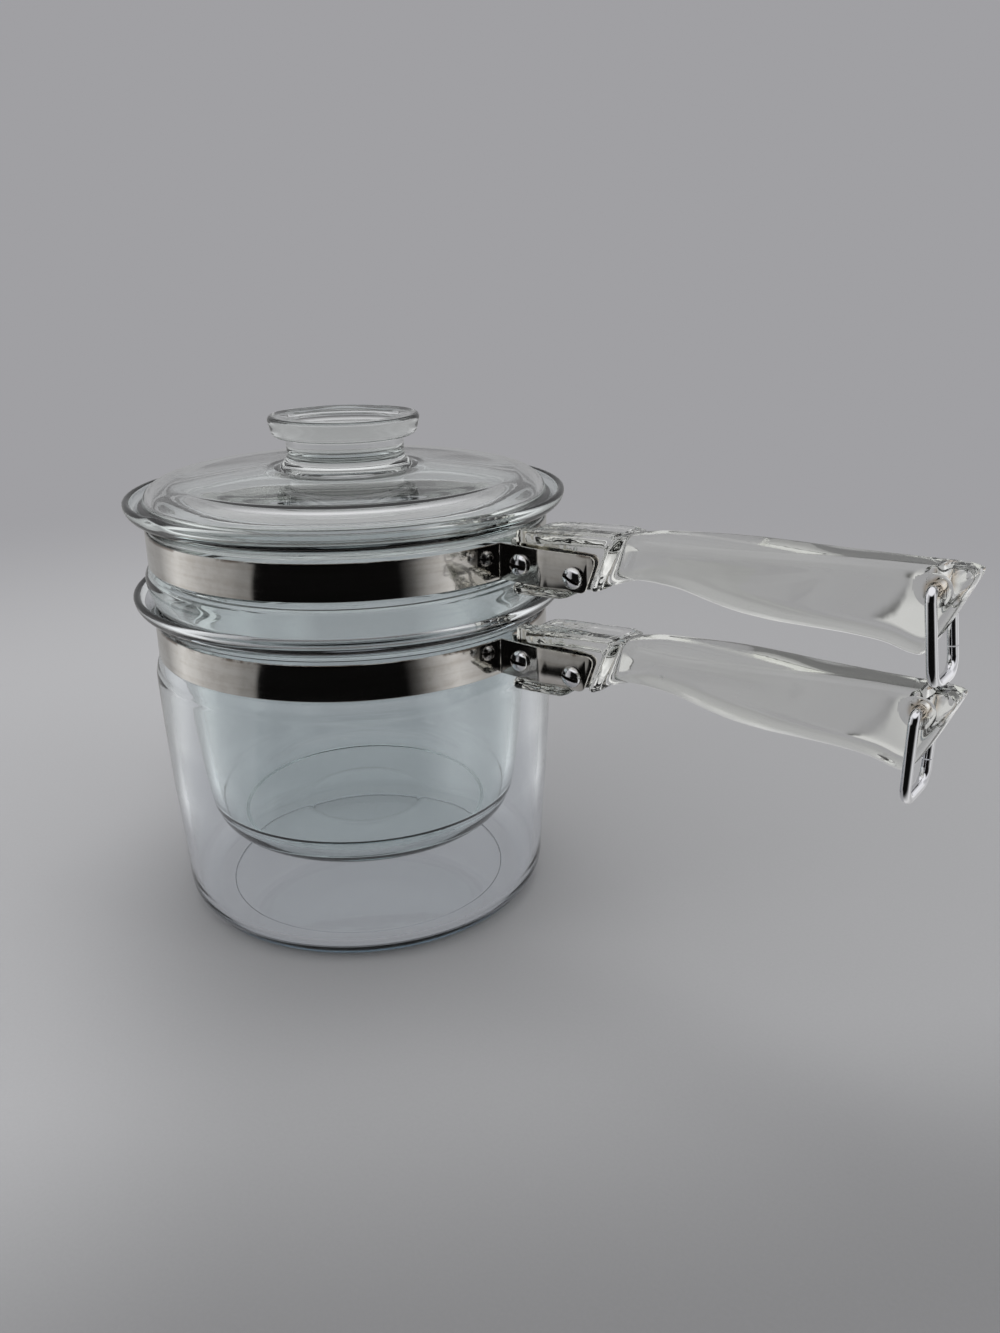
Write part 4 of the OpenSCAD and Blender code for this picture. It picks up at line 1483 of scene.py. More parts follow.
@dataclass(frozen=True)
class Fasteners:
    """The slotted round-head screws and their nuts, two of each on every handle."""

    band: Band = field(default_factory=Band)
    shank_d: float = 4.0
    head_d: float = 7.3
    head_h: float = 2.5
    head_edge: float = 0.4
    slot_w: float = 1.1
    slot_h: float = 1.2
    nut_af: float = 7.0
    nut_h: float = 3.0
    nut_bore: float = 4.08
    nut_sides: int = 96
    tail: float = 1.2
    bearing_gap: float = 0.02
    clamp_out: float = 9.2
    handle_back: float = 8.2
    handle_drop: float = 1.4
    thread_pitch: float = 0.8
    thread_depth: float = 0.22
    bevel_w: float = 0.12

    def places(self) -> list[Point]:
        """The places of the clamp screw and the handle screw, in x and in height from the rim."""
        return [(self.band.rim.neck_r + self.clamp_out, self.band.middle),
                (self.band.end_x - self.handle_back, self.band.middle - self.handle_drop)]

    def bearing(self, x: float, half: float) -> float:
        """Distance of the face that a head or nut bears on from the handle's middle plane."""
        return max(self.band.ear_y(x - half), self.band.ear_y(x + half), self.band.ear_y(x)) \
            + self.band.strip_t + self.bearing_gap

    def screw_model(self) -> Object:
        """A screw along Y with its head at negative Y, its bearing face at Y = 0.

        Returns:
            The screw, at the origin.
        """
        round_h = self.head_h - self.head_edge
        crown = [(-self.head_edge - math.sin(a) * round_h, self.head_d / 2 * math.cos(a))
                 for a in np.linspace(math.pi / 2 - 0.03, 0, 16)]
        root, crest = self.shank_d / 2 - self.thread_depth, self.shank_d / 2
        far = self.bearing(self.places()[0][0], self.nut_af / 2) * 2 + self.nut_h + self.tail
        thread = []
        y = far - self.nut_h - self.tail + 0.4
        while y < far - 0.6:
            thread += [(y, crest), (y + self.thread_pitch * 0.4, root),
                       (y + self.thread_pitch * 0.5, root)]
            y += self.thread_pitch * 0.9
        neck = [(0.0, self.head_d / 2), (0.0, crest + 0.3), (0.3, crest)]
        screw = pin("screw_model", 0.0, 0.0, [(crown[0][0], 0.02)] + crown + neck + thread
                    + [(far - 0.3, crest), (far, crest - 0.35)])
        half, floor = self.slot_w / 2, self.slot_h - self.head_h
        corners = [(-self.head_h - 1, -half), (-self.head_h - 1, half), (floor, half),
                   (floor, -half)]
        slot = loft("slot", [[(x, y, z) for y, z in corners] for x in (-self.head_d, self.head_d)])
        cut(screw, slot)
        return self.slot_grime_and_shade(modified(screw, "BEVEL", width=self.bevel_w * MM, segments=2,
                                    limit_method="ANGLE", angle_limit=math.radians(50)))

    def slot_grime_and_shade(self, screw: Object) -> Object:
        """Marks the faces inside the slot, which are painted near black as grime and painted shade.

        Args:
            screw: The screw.

        Returns:
            The same screw.
        """
        mask = screw.data.attributes.new(GRIME_AND_SHADE_MASK, "FLOAT", "FACE")
        wide, deep = (self.slot_w / 2 + 0.03) * MM, (self.slot_h - self.head_h + 0.05) * MM
        for face, item in zip(screw.data.polygons, mask.data):
            item.value = 1.0 if abs(face.center.z) < wide and face.center.y < deep else 0.0
        return screw

    def nut_model(self) -> Object:
        """A hexagon nut along Y with chamfered corners, its bearing face at Y = 0.

        Returns:
            The nut, at the origin.
        """
        corner_r = self.nut_af / 2 / math.cos(math.pi / 6)
        rings = []
        for y, limit in ((0.0, self.nut_af / 2), (0.28, corner_r), (self.nut_h - 0.45, corner_r),
                         (self.nut_h, self.nut_af / 2 - 0.1)):
            ring = []
            for i in range(self.nut_sides):
                a = 2 * math.pi * i / self.nut_sides
                turn = (a + math.pi / 6) % (math.pi / 3) - math.pi / 6
                r = min(self.nut_af / 2 / math.cos(turn), limit)
                ring.append((r * math.cos(a), y, r * math.sin(a)))
            rings.append(ring)
        nut = loft("nut_model", rings)
        bore = self.nut_bore / 2
        return cut(nut, pin("bore", 0, 0, [(-1, bore + 1.4), (0.4, bore), (self.nut_h - 0.4, bore),
                                           (self.nut_h + 1, bore + 1.4)], 48))

    def build(self, body: str, rim_z: float, turns: Sequence[float], material: Material,
              tree: NodeTree) -> None:
        """Sets the two screws and two nuts of one handle, one mesh for each kind.

        Args:
            body: The body that they ride on, whose name their nodes start with.
            rim_z: Height of the rim above them.
            turns: How far each screw's slot is turned, in degrees.
            material: Their finish.
            tree: The tree that sets them.
        """
        for kind, model, sign, half in (("screw", self.screw_model(), -1, self.head_d / 2),
                                        ("nut", self.nut_model(), 1, self.nut_af / 2)):
            shade_smooth(model, 35)
            points = [(x, sign * self.bearing(x, half), rim_z + z) for x, z in self.places()]
            carrier = mesh_object("places", points, [], [])
            layer = carrier.data.attributes.new("turn", "FLOAT", "POINT")
            for i, turn in enumerate(turns):
                layer.data[i].value = math.radians(turn if kind == "screw" else 14.0 * turn)
            piece = run_tree(f"{body}_{kind}s", carrier, tree,
                             {"Fastener": model, "Material": material})
            shade_smooth(piece, 35)
            bpy.data.objects.remove(model)
            nodes = (f"{body}_clamp_{kind}", f"{body}_handle_{kind}")
            Placement(body, "screw_chrome", nodes).place(piece)


# The handles and their rings


@dataclass(frozen=True)
class Handle:
    """A pressed glass handle: plate over the ears, web between them, foot and grip."""

    band: Band = field(default_factory=Band)
    fasteners: Fasteners = field(default_factory=Fasteners)
    length: float = 152.8
    nose_gap: float = 0.8
    nose_lean: float = 0.48
    nose_run: float = 34.0
    plate_end: float = 8.6
    overlap: float = 20.0
    grip_half_w: float = 12.0
    end_half_w: float = 6.8
    plate_lift: float = 6.6
    rise: float = 7.2
    grip_depth: float = 22.0
    waist_depth: float = 14.2
    heel_depth: float = 25.4
    tip_depth: float = 2.6
    end_slant: float = 11.4
    plate_t: float = 4.2
    plate_half_w: float = 10.2
    plate_corner_r: float = 4.0
    plate_start: float = 14.2
    web_start: float = 6.6
    web_fit: float = 0.12
    lug_t: float = 3.0
    lug_half_w: float = 6.4
    lug_corner_r: float = 3.0
    lug_gap: float = 0.5
    ring_hole_back: float = 9.2
    ring_hole_drop: float = 6.1
    ring_hole_d: float = 3.7
    recess_d: float = 10.4
    recess_floor_d: float = 7.8
    recess_h: float = 1.0
    voxel: float = 0.46
    relaxing: int = 6

    @property
    def tip_x(self) -> float:
        """Distance of the tip from the axis."""
        return self.band.rim.neck_r + self.length

    @property
    def nose_x(self) -> float:
        """Distance from the axis of the nose where the grip starts."""
        return self.band.end_x + self.nose_gap

    @property
    def plate_x(self) -> float:
        """Distance of the plate's pan end from the axis."""
        return self.band.rim.neck_r + self.plate_start

    @property
    def hole(self) -> Point:
        """The ring's hole, in x and in height from the rim."""
        x = self.tip_x - self.ring_hole_back
        return x, self.top_z(x) - self.ring_hole_drop

    def top_z(self, x: float) -> float:
        """Height of the handle's top at x, from the rim.

        Args:
            x: The distance from the axis.

        Returns:
            The height.
        """
        hole_x = self.tip_x - self.ring_hole_back
        share = max(0.0, (x - self.plate_x) / (hole_x - self.plate_x))
        return self.band.top + self.plate_lift + self.rise * share ** 0.72

    def grip_stations(self) -> list[tuple[float, ...]]:
        """Stations of the grip: x, half width, top, bottom and slant of the sides in degrees.

        Returns:
            The stations, from the nose to the heel.
        """
        plate, grip, end = self.plate_half_w, self.grip_half_w, self.end_half_w
        waist, deep, heel = self.waist_depth, self.grip_depth, self.heel_depth
        shape = [(0, plate - 0.9, 0.8, waist + 3.6, 6),
                 (0.007, plate + 0.3, 0, waist + 4.5, 7),
                 (0.021, plate + 0.3, 0, waist + 4.5, 7),
                 (0.032, plate - 1.2, 0, waist + 4.2, 7),
                 (0.046, plate - 3.0, 0, waist + 3.2, 7),
                 (0.066, plate - 3.0, 0, waist + 1.9, 9),
                 (0.10, plate - 1.5, 0, waist + 0.7, 11),
                 (0.14, plate - 0.3, 0, waist + 0.2, 12),
                 (0.19, plate + 0.3, 0, waist + 0.2, 12),
                 (0.27, (plate + grip) / 2, 0, waist + 1.3, 13),
                 (0.36, grip - 0.1, 0, (waist + deep) / 2, 14),
                 (0.44, grip - 0.1, 0, deep - 1.8, 13),
                 (0.53, grip - 1.3, 0, deep - 0.4, 11),
                 (0.62, (grip + end) / 2 - 0.2, 0, deep, 9),
                 (0.72, end + 1.1, 0, deep + 0.3, 6),
                 (0.81, end + 0.3, 0, (deep + heel) / 2 - 0.6, 3),
                 (0.87, end, 0, heel - 0.4, 2)]
        stations = []
        for share, half, top, depth, slant in shape:
            x = self.nose_x + (self.tip_x - self.nose_x) * share
            stations.append((x, half, self.top_z(x) - top, self.top_z(x) - depth, slant))
        heel_x = self.tip_x - self.end_slant
        stations.append((heel_x, end, self.top_z(heel_x), self.top_z(heel_x) - heel, 2))
        return stations

    def end_station(self, t: float) -> tuple[float, ...]:
        """A station at share t of the slanted end, from the heel out to the tip.

        Args:
            t: The share.

        Returns:
            The station.
        """
        x = self.tip_x - self.end_slant * (1 - t)
        top = self.top_z(x)
        return (x, self.end_half_w - 0.9 * t ** 4, top - 1.3 * t ** 6,
                top - self.tip_depth - (self.heel_depth - self.tip_depth) * (1 - t ** 1.3), 2)

    def grip_ring(self, station: tuple[float, ...]) -> list[Spot]:
        """A closed section: round corners, flat top, sides that draw in downwards by the slant.

        Args:
            station: The station.

        Returns:
            The section's points.
        """
        x, half, high, low, slant = station
        depth, steps = high - low, 8
        r_top = min(3.0, half * 0.6, depth * 0.4)
        r_low = min(7.0, half * 0.62, depth * 0.44, 2.2 + max(0.0, x - self.nose_x - 3) * 0.5)
        top = Vector((half - r_top, high - r_top))
        side = Vector((math.cos(math.radians(slant)), -math.sin(math.radians(slant))))
        low_z = low + r_low
        low_y = max(((top @ side + r_top) - r_low - low_z * side.y) / side.x, 0.2)
        right = arc(tuple(top), r_top, 90, -slant, steps)
        right += arc((low_y, low_z), r_low, -slant, -90, steps)
        return [(x, y, z) for y, z in right] + [(x, -y, z) for y, z in right[::-1]]

    def leaned(self, ring: Sequence) -> list[Spot]:
        """A section of the grip, leaned back near the nose in line with the ears' ends.

        Args:
            ring: The section.

        Returns:
            The leaned section.
        """
        share = (ring[0][0] - self.nose_x) / self.nose_run
        fall, low = max(0.0, 1.0 - share), min(z for _, _, z in ring)
        return [(x + fall * self.nose_lean * (z - low), y, z) for x, y, z in ring]

    def bar(self, name: str, stations: Sequence[tuple[float, float, float, float]], radius: float) \
            -> Object:
        """A bar with round edges through stations of x, half width, lowest and highest point."""
        return loft(name, [[(x, y, z) for y, z in rounded_section(half, low, high, radius, 3)]
                           for x, half, low, high in stations])

    def web(self) -> Object:
        """The glass between the ears, from the plate down to the foot.

        Returns:
            The web, ready to be melted in.
        """
        start = self.band.rim.neck_r + self.web_start
        end = self.nose_x + self.overlap
        ear_low = self.band.top - self.band.rim.band_w
        lug_top = ear_low - self.lug_gap
        lug_end = self.fasteners.places()[1][0] - 0.4
        xs = np.linspace(start, end, 56)
        lows = np.interp(xs, [start, lug_end - 4, lug_end - 1, self.band.end_x - 3, end],
                         [lug_top - 1, lug_top - 1, ear_low + 0.9, ear_low + 1.2,
                          self.top_z(end) - self.waist_depth + 1])
        highs = np.interp(xs, [start, end],
                          [self.top_z(start) - 2 - (self.band.top + self.plate_lift) * 0.2,
                           self.top_z(end) - 2])
        return self.bar("web", [(x, max(self.band.ear_y(x), 1.9) - self.web_fit, lo, hi)
                                for x, lo, hi in zip(xs, lows, highs)], 0.3)

    def slab(self, name: str, start: float, end: float, half: float, corner: float, both: bool,
             low: Callable[[float], float], high: Callable[[float], float],
             radius: float) -> Object:
        """A flat bar whose corners are rounded in plan at its start, and at its end too if asked.

        Args:
            name: The bar's name.
            start: Where it starts.
            end: Where it ends.
            half: Half its width.
            corner: The corners' radius in plan.
            both: Whether its end is rounded too.
            low: Its underside at x.
            high: Its top at x.
            radius: The radius of its long edges.

        Returns:
            The bar.
        """
        angles = np.linspace(math.radians(8), math.pi / 2, 9)
        xs = [start + corner * (1 - math.cos(a)) for a in angles]
        widths = [half - corner * (1 - math.sin(a)) for a in angles]
        if both:
            xs += [end - q + start for q in xs[::-1]]
            widths += widths[::-1]
        else:
            xs += list(np.linspace(start + corner, end, 10)[1:])
            widths += list(np.linspace(half, half * 0.95, 10)[1:])
        return self.bar(name, [(x, w, low(x), high(x)) for x, w in zip(xs, widths)], radius)

    def build(self) -> Object:
        """Melts the handle's forms into one piece of glass and cuts its holes.

        Returns:
            The handle, from which both are copied.
        """
        grip = loft("grip",
                    [self.leaned(self.grip_ring(s)) for s in spline(self.grip_stations(), 6)]
                    + [self.grip_ring(self.end_station(i / 12)) for i in range(1, 13)])
        plate = self.slab("plate", self.plate_x, self.nose_x + self.plate_end, self.plate_half_w,
                          self.plate_corner_r, False, lambda x: self.top_z(x) - self.plate_t,
                          self.top_z, 1.5)
        lug_top = self.band.top - self.band.rim.band_w - self.lug_gap
        lug_end = self.fasteners.places()[1][0] - 0.9
        lug = self.slab("lug", self.band.rim.neck_r + self.web_start, lug_end,
                        self.lug_half_w, self.lug_corner_r, True,
                        lambda x: lug_top
                        - self.lug_t * (1 - 0.6 * max(0.0, (x - lug_end) / 8 + 1)),
                        lambda x: lug_top, 1.1)
        piece = relaxed(remeshed(joined("handle", [grip, self.web(), plate, lug]), self.voxel),
                        self.relaxing)
        hole_r = self.band.hole_d / 2
        for x, z in self.fasteners.places():
            cut(piece, pin("hole", x, z, [(-20, hole_r), (20, hole_r)]), Solver.MANIFOLD)
        x, z = self.hole
        r, floor_r, wide = self.ring_hole_d / 2, self.recess_floor_d / 2, self.recess_d / 2
        face, deep = self.end_half_w, self.end_half_w - self.recess_h
        half = [(deep - 0.4, r), (deep - 0.05, r + 0.3), (deep, r + 0.5), (deep, floor_r - 0.3),
                (deep + 0.12, floor_r + 0.1), (face - 0.12, wide - 0.1), (face + 0.05, wide + 0.3),
                (face + 2, wide + 4)]
        bore = pin("ring_hole", x, z, [(-y, q) for y, q in half[::-1]] + half, 96)
        return cut(piece, bore, Solver.MANIFOLD)

    def place(self, body: str, model: Object, rim_z: float, material: Material) -> None:
        """Sets a copy of the finished handle on one pan and hands it to the frame.

        Args:
            body: The body that it rides on.
            model: The finished handle.
            rim_z: The height of the rim above it.
            material: Its glass.
        """
        piece = new_object(f"{body}_glass_handle", model.data.copy())
        raised(piece, rim_z)
        shade_smooth(piece, 34)
        Placement(body, "handle_glass", (f"{body}_handle",)).place(coated(piece, material))


@dataclass(frozen=True)
class HangingRing:
    """A bent wire ring through the end of a handle, its two ends meeting in the far leg."""

    handle: Handle = field(default_factory=Handle)
    wire_d: float = 3.1
    play: float = 0.65
    clear: float = 0.35
    corner_r: float = 5.0
    top_r: float = 2.6
    joint: float = 0.35
    rim_step: float = 34.1

    def path(self) -> list[Spot]:
        """The wire's path hanging straight down from the hole, from one cut end round to the other.

        Returns:
            The points of the path.
        """
        leg = self.handle.end_half_w + self.play + self.wire_d / 2
        low = -(self.rim_step - self.handle.ring_hole_drop - self.wire_d / 2 - self.clear)
        joint_z = low + self.corner_r + self.wire_d * 0.65
        top, corner = self.top_r, self.corner_r
        flat = [(leg, joint_z + self.joint)]
        for y, z, r, start, steps in ((leg - top, -top, top, 0, 14), (top - leg, -top, top, 90, 14),
                                      (corner - leg, low + corner, corner, 180, 18),
                                      (leg - corner, low + corner, corner, 270, 18)):
            flat += arc((y, z), r, start, start + 90, steps)
        return [(0.0, y, z) for y, z in flat + [(leg, joint_z)]]

    def build(self, body: str, rim_z: float, turn: float, material: Material,
              tree: NodeTree) -> None:
        """Bends one ring, swings it away from the pan and hands it to the frame.

        Args:
            body: The body of its pan.
            rim_z: The height of the rim above it.
            turn: How far it swings out, in degrees.
            material: Its plating.
            tree: The wire tree.
        """
        x, z = self.handle.hole
        a = math.radians(turn)
        points = [(x - p[2] * math.sin(a), p[1], rim_z + z + p[2] * math.cos(a))
                  for p in self.path()]
        carrier = polyline("ring_path", points)
        piece = run_tree(f"{body}_wire_ring", carrier, tree,
                         {"Wire Radius": self.wire_d / 2 * MM, "Sides": 36, "Material": material})
        shade_smooth(piece, 50)
        Placement(f"{body}_hanger", "ring_chrome", (f"{body}_ring",)).place(piece)


# The studio


@dataclass(frozen=True)
class Studio:
    """The plain pale floor and surroundings, the soft lights and the camera.

    Each of the walls is a turn from the front in degrees and a brightness. Each panel is the
    direction and distance of its face, then those of its edge. A range is where a ramp starts and
    ends: in degrees for a turn or a rise, in metres for a reach.
    """

    camera_at: Spot = (0.2939, -0.2888, 0.2367)
    view_azimuth: float = 127.66
    view_pitch: float = -20.03
    view_roll: float = -0.0122
    lens: float = 29.51
    backdrop: Colour = (0.352, 0.350, 0.366)
    floor_colour: Colour = (0.40, 0.40, 0.405)
    front_azimuth: float = -44.5
    floor_size: float = 9.0
    grain_scale: float = 900.0
    grain_tones: Point = (0.97, 1.03)
    shade_ahead: tuple[float, ...] = (0.12, 0.24, 1.0, 0.62)
    shade_across: tuple[float, ...] = (-0.12, -0.03, 1.2, 1.0)
    lighting: float = 0.74
    ceiling: float = 0.95
    walls: tuple[Point, ...] = ((-180, 0.36), (-135, 0.40), (-115, 0.92), (-102, 0.76),
                                (-94, 0.61), (-82, 0.48), (-71, 0.40), (-66, 0.31),
                                (-58.5, 0.28), (-56.5, 0.004), (26.0, 0.004), (33, 0.10),
                                (45, 0.50), (56, 0.80), (75, 0.50), (95, 0.60),
                                (112, 0.95), (135, 0.40), (180, 0.36))
    floor_parallax: float = 0.92
    ceiling_rise: Point = (34, 48)
    glass_turn: Point = (100, 130)
    glass_rise: Point = (14.0, 24.0)
    glass_fade: float = 20
    side_turn: tuple[float, ...] = (50, 72, 100, 128)
    horizon_rise: Point = (2, 14)
    far_reach: Point = (0.30, 0.85)
    mirror_reach: Point = (0.17, 0.21)
    near_reach: Point = (0.10, 0.14)
    panel_reach: Point = (0.58, 0.76)
    front_ahead: Point = (0.02, 0.26)
    front_reach: Point = (0.5, 1.8)
    # painted shade: the floor's darker glowing tone towards the camera
    front_shade_tone: Colour = (0.26, 0.26, 0.265)
    least_clear: float = 0.75
    panel_foot: Point = (-0.02, 0.07)
    panel_edge: Point = (-0.003, 0.006)
    panel_gap: Point = (-0.022, -0.003)
    gap_power: float = 2.2
    glass_dark: float = 0.10
    glass_light: float = 0.78
    far_level: float = 0.50
    side_level: float = 0.62
    gap_level: float = 0.15
    panels: tuple[tuple[float, ...], ...] = ((-0.87, -0.494, 0.15, -0.551, -0.834, 0.079),
                                             (0.854, 0.521, 0.225, 0.952, 0.307, 0.197))
    lamps: tuple[tuple[str, Spot, Point, float], ...] = (
        ("left_softbox", (-0.55, -1.05, 0.75), (0.5, 0.9), 1.8),
        ("right_softbox", (1.1, 0.35, 0.75), (0.5, 0.9), 1.8),
        ("top_softbox", (-0.1, 0.25, 1.35), (0.7, 0.5), 3.0))
    aim: Spot = (0.03, 0.0, 0.09)

    def camera(self) -> None:
        """Sets the camera at the place that the part is matched from."""
        data = bpy.data.cameras.new("camera")
        data.lens, data.sensor_width, data.sensor_fit = self.lens, 36.0, "AUTO"
        data.dof.use_dof = False
        obj = new_object("camera", data)
        azimuth, pitch = math.radians(self.view_azimuth), math.radians(self.view_pitch)
        ahead = Vector((math.cos(azimuth) * math.cos(pitch), math.sin(azimuth) * math.cos(pitch),
                        math.sin(pitch)))
        right = ahead.cross(Vector((0, 0, 1))).normalized()
        up = right.cross(ahead)
        c, s = math.cos(self.view_roll), math.sin(self.view_roll)
        turned = Matrix((c * right + s * up, c * up - s * right, -ahead)).transposed().to_4x4()
        obj.matrix_world = Matrix.Translation(self.camera_at) @ turned
        bpy.context.scene.camera = obj

    def turn_from_front(self, t: Tree, position: NodeSocket) -> tuple[NodeSocket, ...]:
        """Turns a direction or place into its turn from the front, in degrees, and its reaches.

        Args:
            t: The tree to add to.
            position: The direction or place.

        Returns:
            The turn, the reach forward and the reach across.
        """
        a = math.radians(self.front_azimuth)
        ahead = t.along(position, math.cos(a), math.sin(a))
        across = t.along(position, -math.sin(a), math.cos(a))
        return t.times(t.math("ARCTAN2", across, ahead), 180 / math.pi), ahead, across

    def wall_level(self, t: Tree, turn: object) -> NodeSocket:
        """The brightness of the surroundings at a turn from the front, in degrees.

        Args:
            t: The tree to add to.
            turn: The turn from the front.

        Returns:
            The brightness.
        """
        ramp = t.add("ShaderNodeValToRGB", {0: t.plus(t.over(turn, 360.0), 0.5)})
        stops = ramp.color_ramp.elements
        while len(stops) < len(self.walls):
            stops.new(0.5)
        for stop, (angle, level) in zip(stops, self.walls):
            stop.position = angle / 360.0 + 0.5
            stop.color = (level, level, level, 1.0)
        return ramp.outputs[0]

    def world(self) -> None:
        """Builds the surroundings: dark ahead, bright at the sides, grey behind and soft above."""
        world = bpy.data.worlds.new("studio")
        bpy.context.scene.world = world
        world.use_nodes = True
        world.node_tree.nodes.clear()
        t = Tree(world.node_tree)
        direction = t.add("ShaderNodeTexCoord").outputs["Generated"]
        turn, _, _ = self.turn_from_front(t, direction)
        rise = t.times(t.math("ARCSINE", t.parts(direction)[2]), 180 / math.pi)
        wall = self.wall_level(t, turn)
        room = t.blend(t.ramp(rise, *self.ceiling_rise), wall, self.ceiling)
        wide = t.math("ABSOLUTE", turn)
        start = t.ramp(wide, *self.glass_turn, *self.glass_rise)
        above = t.times(t.minus(rise, start), 1 / self.glass_fade)
        inside = t.blend(t.ramp(above, 0.0, 1.0), t.most(wall, self.glass_dark),
                         self.glass_light)
        side = t.times(t.ramp(wide, *self.side_turn[:2]),
                       t.ramp(wide, *self.side_turn[2:], 1.0, 0.0))
        level = t.blend(side, self.backdrop[0], self.far_level)
        straight = t.blend(t.ramp(rise, *self.horizon_rise), level, inside)
        ray = t.add("ShaderNodeLightPath").outputs
        lighting = t.math("GREATER_THAN", ray["Diffuse Depth"], 0.5)
        bounced = t.math("GREATER_THAN", ray["Glossy Depth"], 0.5)
        glass = t.blend(ray[Ray.TRANSMISSION.value], room, t.blend(bounced, straight, inside))
        seen = t.blend(lighting, glass, self.lighting)
        tone = t.add("ShaderNodeCombineColor",
                     {0: seen, 1: seen, 2: t.times(seen, 1.02)}).outputs[0]
        shown = t.mix(ray[Ray.CAMERA.value], tone, self.backdrop)
        sky = t.add("ShaderNodeBackground", {"Color": shown, "Strength": 1.0})
        t.add("ShaderNodeOutputWorld", {"Surface": sky.outputs[0]})

    def floor(self) -> None:
        """Lays the floor, which turns into the backdrop's tone further out, with painted shade that
        darkens it towards the camera.
        """
        s = self.floor_size / 2
        mesh = bpy.data.meshes.new("studio_floor")
        mesh.from_pydata([(-s, -s, 0), (s, -s, 0), (s, s, 0), (-s, s, 0)], [], [(0, 1, 2, 3)])
        obj = new_object("studio_floor", mesh)
        f = Finish("floor_paper", Roughness=0.9)
        f.shader.inputs["Specular IOR Level"].default_value = 0.1
        grain = f.noise(f.place, self.grain_scale, 2.0)
        turn, ahead, across = self.turn_from_front(f, f.place)
        shade = f.times(f.ramp(ahead, *self.shade_ahead), f.ramp(across, *self.shade_across))
        tones = [f.add("ShaderNodeVectorMath",
                       {0: tuple(c * k for c in self.floor_colour), 3: shade},
                       operation="SCALE").outputs[0] for k in self.grain_tones]
        f.feed("Base Color", f.mix(grain, *tones))
        reach = f.add("ShaderNodeVectorMath", {0: f.place}, operation="LENGTH").outputs["Value"]
        ray = f.add("ShaderNodeLightPath").outputs
        through = ray[Ray.TRANSMISSION.value]
        wall = self.wall_level(f, f.over(turn, self.floor_parallax))
        beyond = f.ramp(reach, *self.mirror_reach)
        mirrored = f.times(f.minus(ray[Ray.GLOSSY.value], through), beyond)
        sides, gaps = [], []
        for face_x, face_y, foot, edge_x, edge_y, edge in self.panels:
            out, past = f.along(f.place, face_x, face_y), f.along(f.place, edge_x, edge_y)
            stands = f.times(f.ramp(out, *(foot + by for by in self.panel_foot)),
                             f.ramp(reach, *self.panel_reach, 1.0, 0.0))
            for found, reaches in ((sides, self.panel_edge), (gaps, self.panel_gap)):
                found.append(f.times(stands, f.ramp(past, *(edge + by for by in reaches))))
        side, gap = f.most(*sides), f.most(*gaps)
        shadow = f.math("POWER", gap, self.gap_power)
        # painted shade: the floor's glowing tone turns darker ahead, towards the camera
        front = f.times(f.ramp(ahead, *self.front_ahead),
                        f.ramp(reach, *self.front_reach, 1.0, 0.0))
        shaded_paper = f.mix(front, self.backdrop, self.front_shade_tone)
        straight = f.mix(side, f.mix(shadow, shaded_paper, (self.gap_level,) * 3), (self.side_level,) * 3)
        near = f.ramp(reach, *self.near_reach)
        inside = f.mix(near, shaded_paper, f.most(wall, self.glass_dark))
        bounced = f.math("GREATER_THAN", ray["Glossy Depth"], 0.5)
        seen = f.mix(through, f.mix(mirrored, shaded_paper, wall), f.mix(bounced, straight, inside))
        glow = f.add("ShaderNodeEmission", {"Color": seen, "Strength": 1.0})
        clear = f.most(f.most(gap, f.times(bounced, near)), self.least_clear)
        far = f.most(f.most(f.ramp(reach, *self.far_reach), mirrored),
                     f.times(through, clear))
        both = f.add("ShaderNodeMixShader", {0: far, 1: f.shader.outputs[0], 2: glow.outputs[0]})
        f.tree.links.new(both.outputs[0], f.output.inputs["Surface"])
        coated(obj, f.material)

    def lamp(self, name: str, at: Spot, size: Point, power: float) -> None:
        """Adds a soft rectangular lamp that points at the middle of the part.

        Args:
            name: The lamp's name.
            at: Where it stands.
            size: Its width and height.
            power: Its power in watts.
        """
        data = bpy.data.lights.new(name, "AREA")
        data.shape, data.size, data.size_y, data.energy = "RECTANGLE", size[0], size[1], power
        obj = new_object(name, data)
        obj.location = at
        obj.rotation_euler = (Vector(self.aim) - Vector(at)).to_track_quat("-Z", "Y").to_euler()
        obj.visible_camera = obj.visible_glossy = obj.visible_transmission = False

    def build(self) -> None:
        """Sets up the whole studio."""
        bpy.context.scene.view_settings.view_transform = "Standard"
        self.camera()
        self.world()
        self.floor()
        for name, at, size, power in self.lamps:
            self.lamp(name, at, size, power)


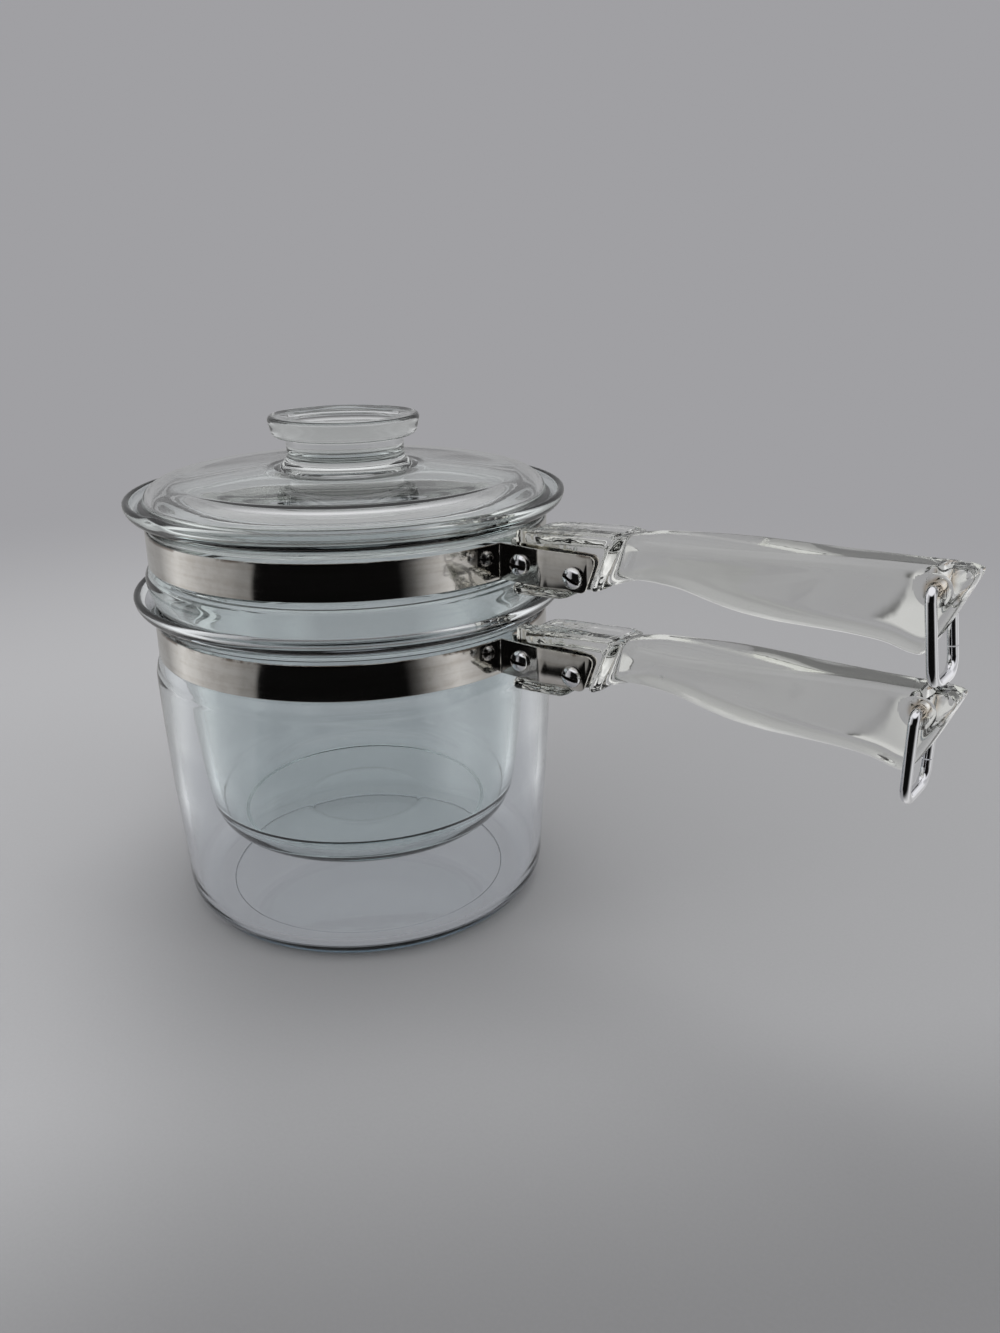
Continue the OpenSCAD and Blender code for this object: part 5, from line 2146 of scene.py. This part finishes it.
@dataclass(frozen=True)
class DoubleBoiler:
    """The whole part: two nested pans with their lid, bands, handles, screws and rings."""

    lower_rim_z: float = 125.4
    upper_rim_z: float = 159.5

    def build(self) -> None:
        """Builds and dresses every piece, in order."""
        marks, brushing = blemish_group(), brushing_group()
        turning, wiring, setting = turning_tree(), wire_tree(), fastener_tree()
        lower_glass = ClearGlass("lower_pan_glass", tint=(0.975, 0.985, 0.995),
                                 depth_colour=(0.68, 0.83, 0.92),
                                 depth_density=17.0).material(marks)
        upper_glass = ClearGlass("upper_pan_glass", tint=(0.955, 0.985, 0.98),
                                 depth_colour=(0.70, 0.88, 0.89),
                                 depth_density=17.0).material(marks)
        lid_glass = ClearGlass("lid_glass", tint=(0.985, 0.99, 0.985),
                               depth_colour=(0.86, 0.92, 0.88), depth_density=5.0).material(marks)
        # the handle glass carries rust and painted shade round the ring hole at each pan's height
        handle_glass = ClearGlass("handle_glass", tint=(0.985, 0.985, 0.97),
                                  depth_colour=(0.90, 0.92, 0.84),
                                  depth_density=14.0, wave_depth=0.12, chill_from=98.0,
                                  rust_and_shade_at=((217.2, 123.5), (217.2, 157.6))).material(marks)
        steel = BrushedSteel("band_steel").material(marks, brushing)
        screw_chrome = Chrome("screw_chrome", roughness=0.10).material(marks)
        ring_chrome = Chrome("ring_chrome").material(marks)

        LowerPan("lower_glass_pan", Placement("lower", "pan_glass", ("lower_pan",)),
                 self.lower_rim_z,
                 PourLip(-73.5, width=4.2, reach=0.35, drop=-0.45)).build(turning, lower_glass)
        UpperPan("upper_glass_pan", Placement("upper", "pan_glass", ("upper_pan",)),
                 self.upper_rim_z,
                 PourLip(-97.0, width=4.2, reach=0.1, drop=-0.9)).build(turning, upper_glass)
        Lid("glass_lid", Placement("cover", "pan_glass", ("lid",))).build(turning, lid_glass)

        band, fasteners, handle, ring = Band(), Fasteners(), Handle(), HangingRing()
        model = handle.build()
        for body, rim_z, turns, swing in (("lower", self.lower_rim_z, (7.0, 11.0), 0.0),
                                          ("upper", self.upper_rim_z, (4.0, 24.0), 8.0)):
            band.build(f"{body}_steel_band", rim_z, fasteners.places(), steel,
                       Placement(body, "band_steel", (f"{body}_band",)))
            fasteners.build(body, rim_z, turns, screw_chrome, setting)
            handle.place(body, model, rim_z, handle_glass)
            ring.build(body, rim_z, swing, ring_chrome, wiring)
        bpy.data.objects.remove(model)


def main() -> None:
    """Builds the part and its studio."""
    logging.basicConfig(level=logging.INFO, format="%(name)s: %(message)s")
    DoubleBoiler().build()
    Studio().build()


if __name__ == "__main__":
    main()
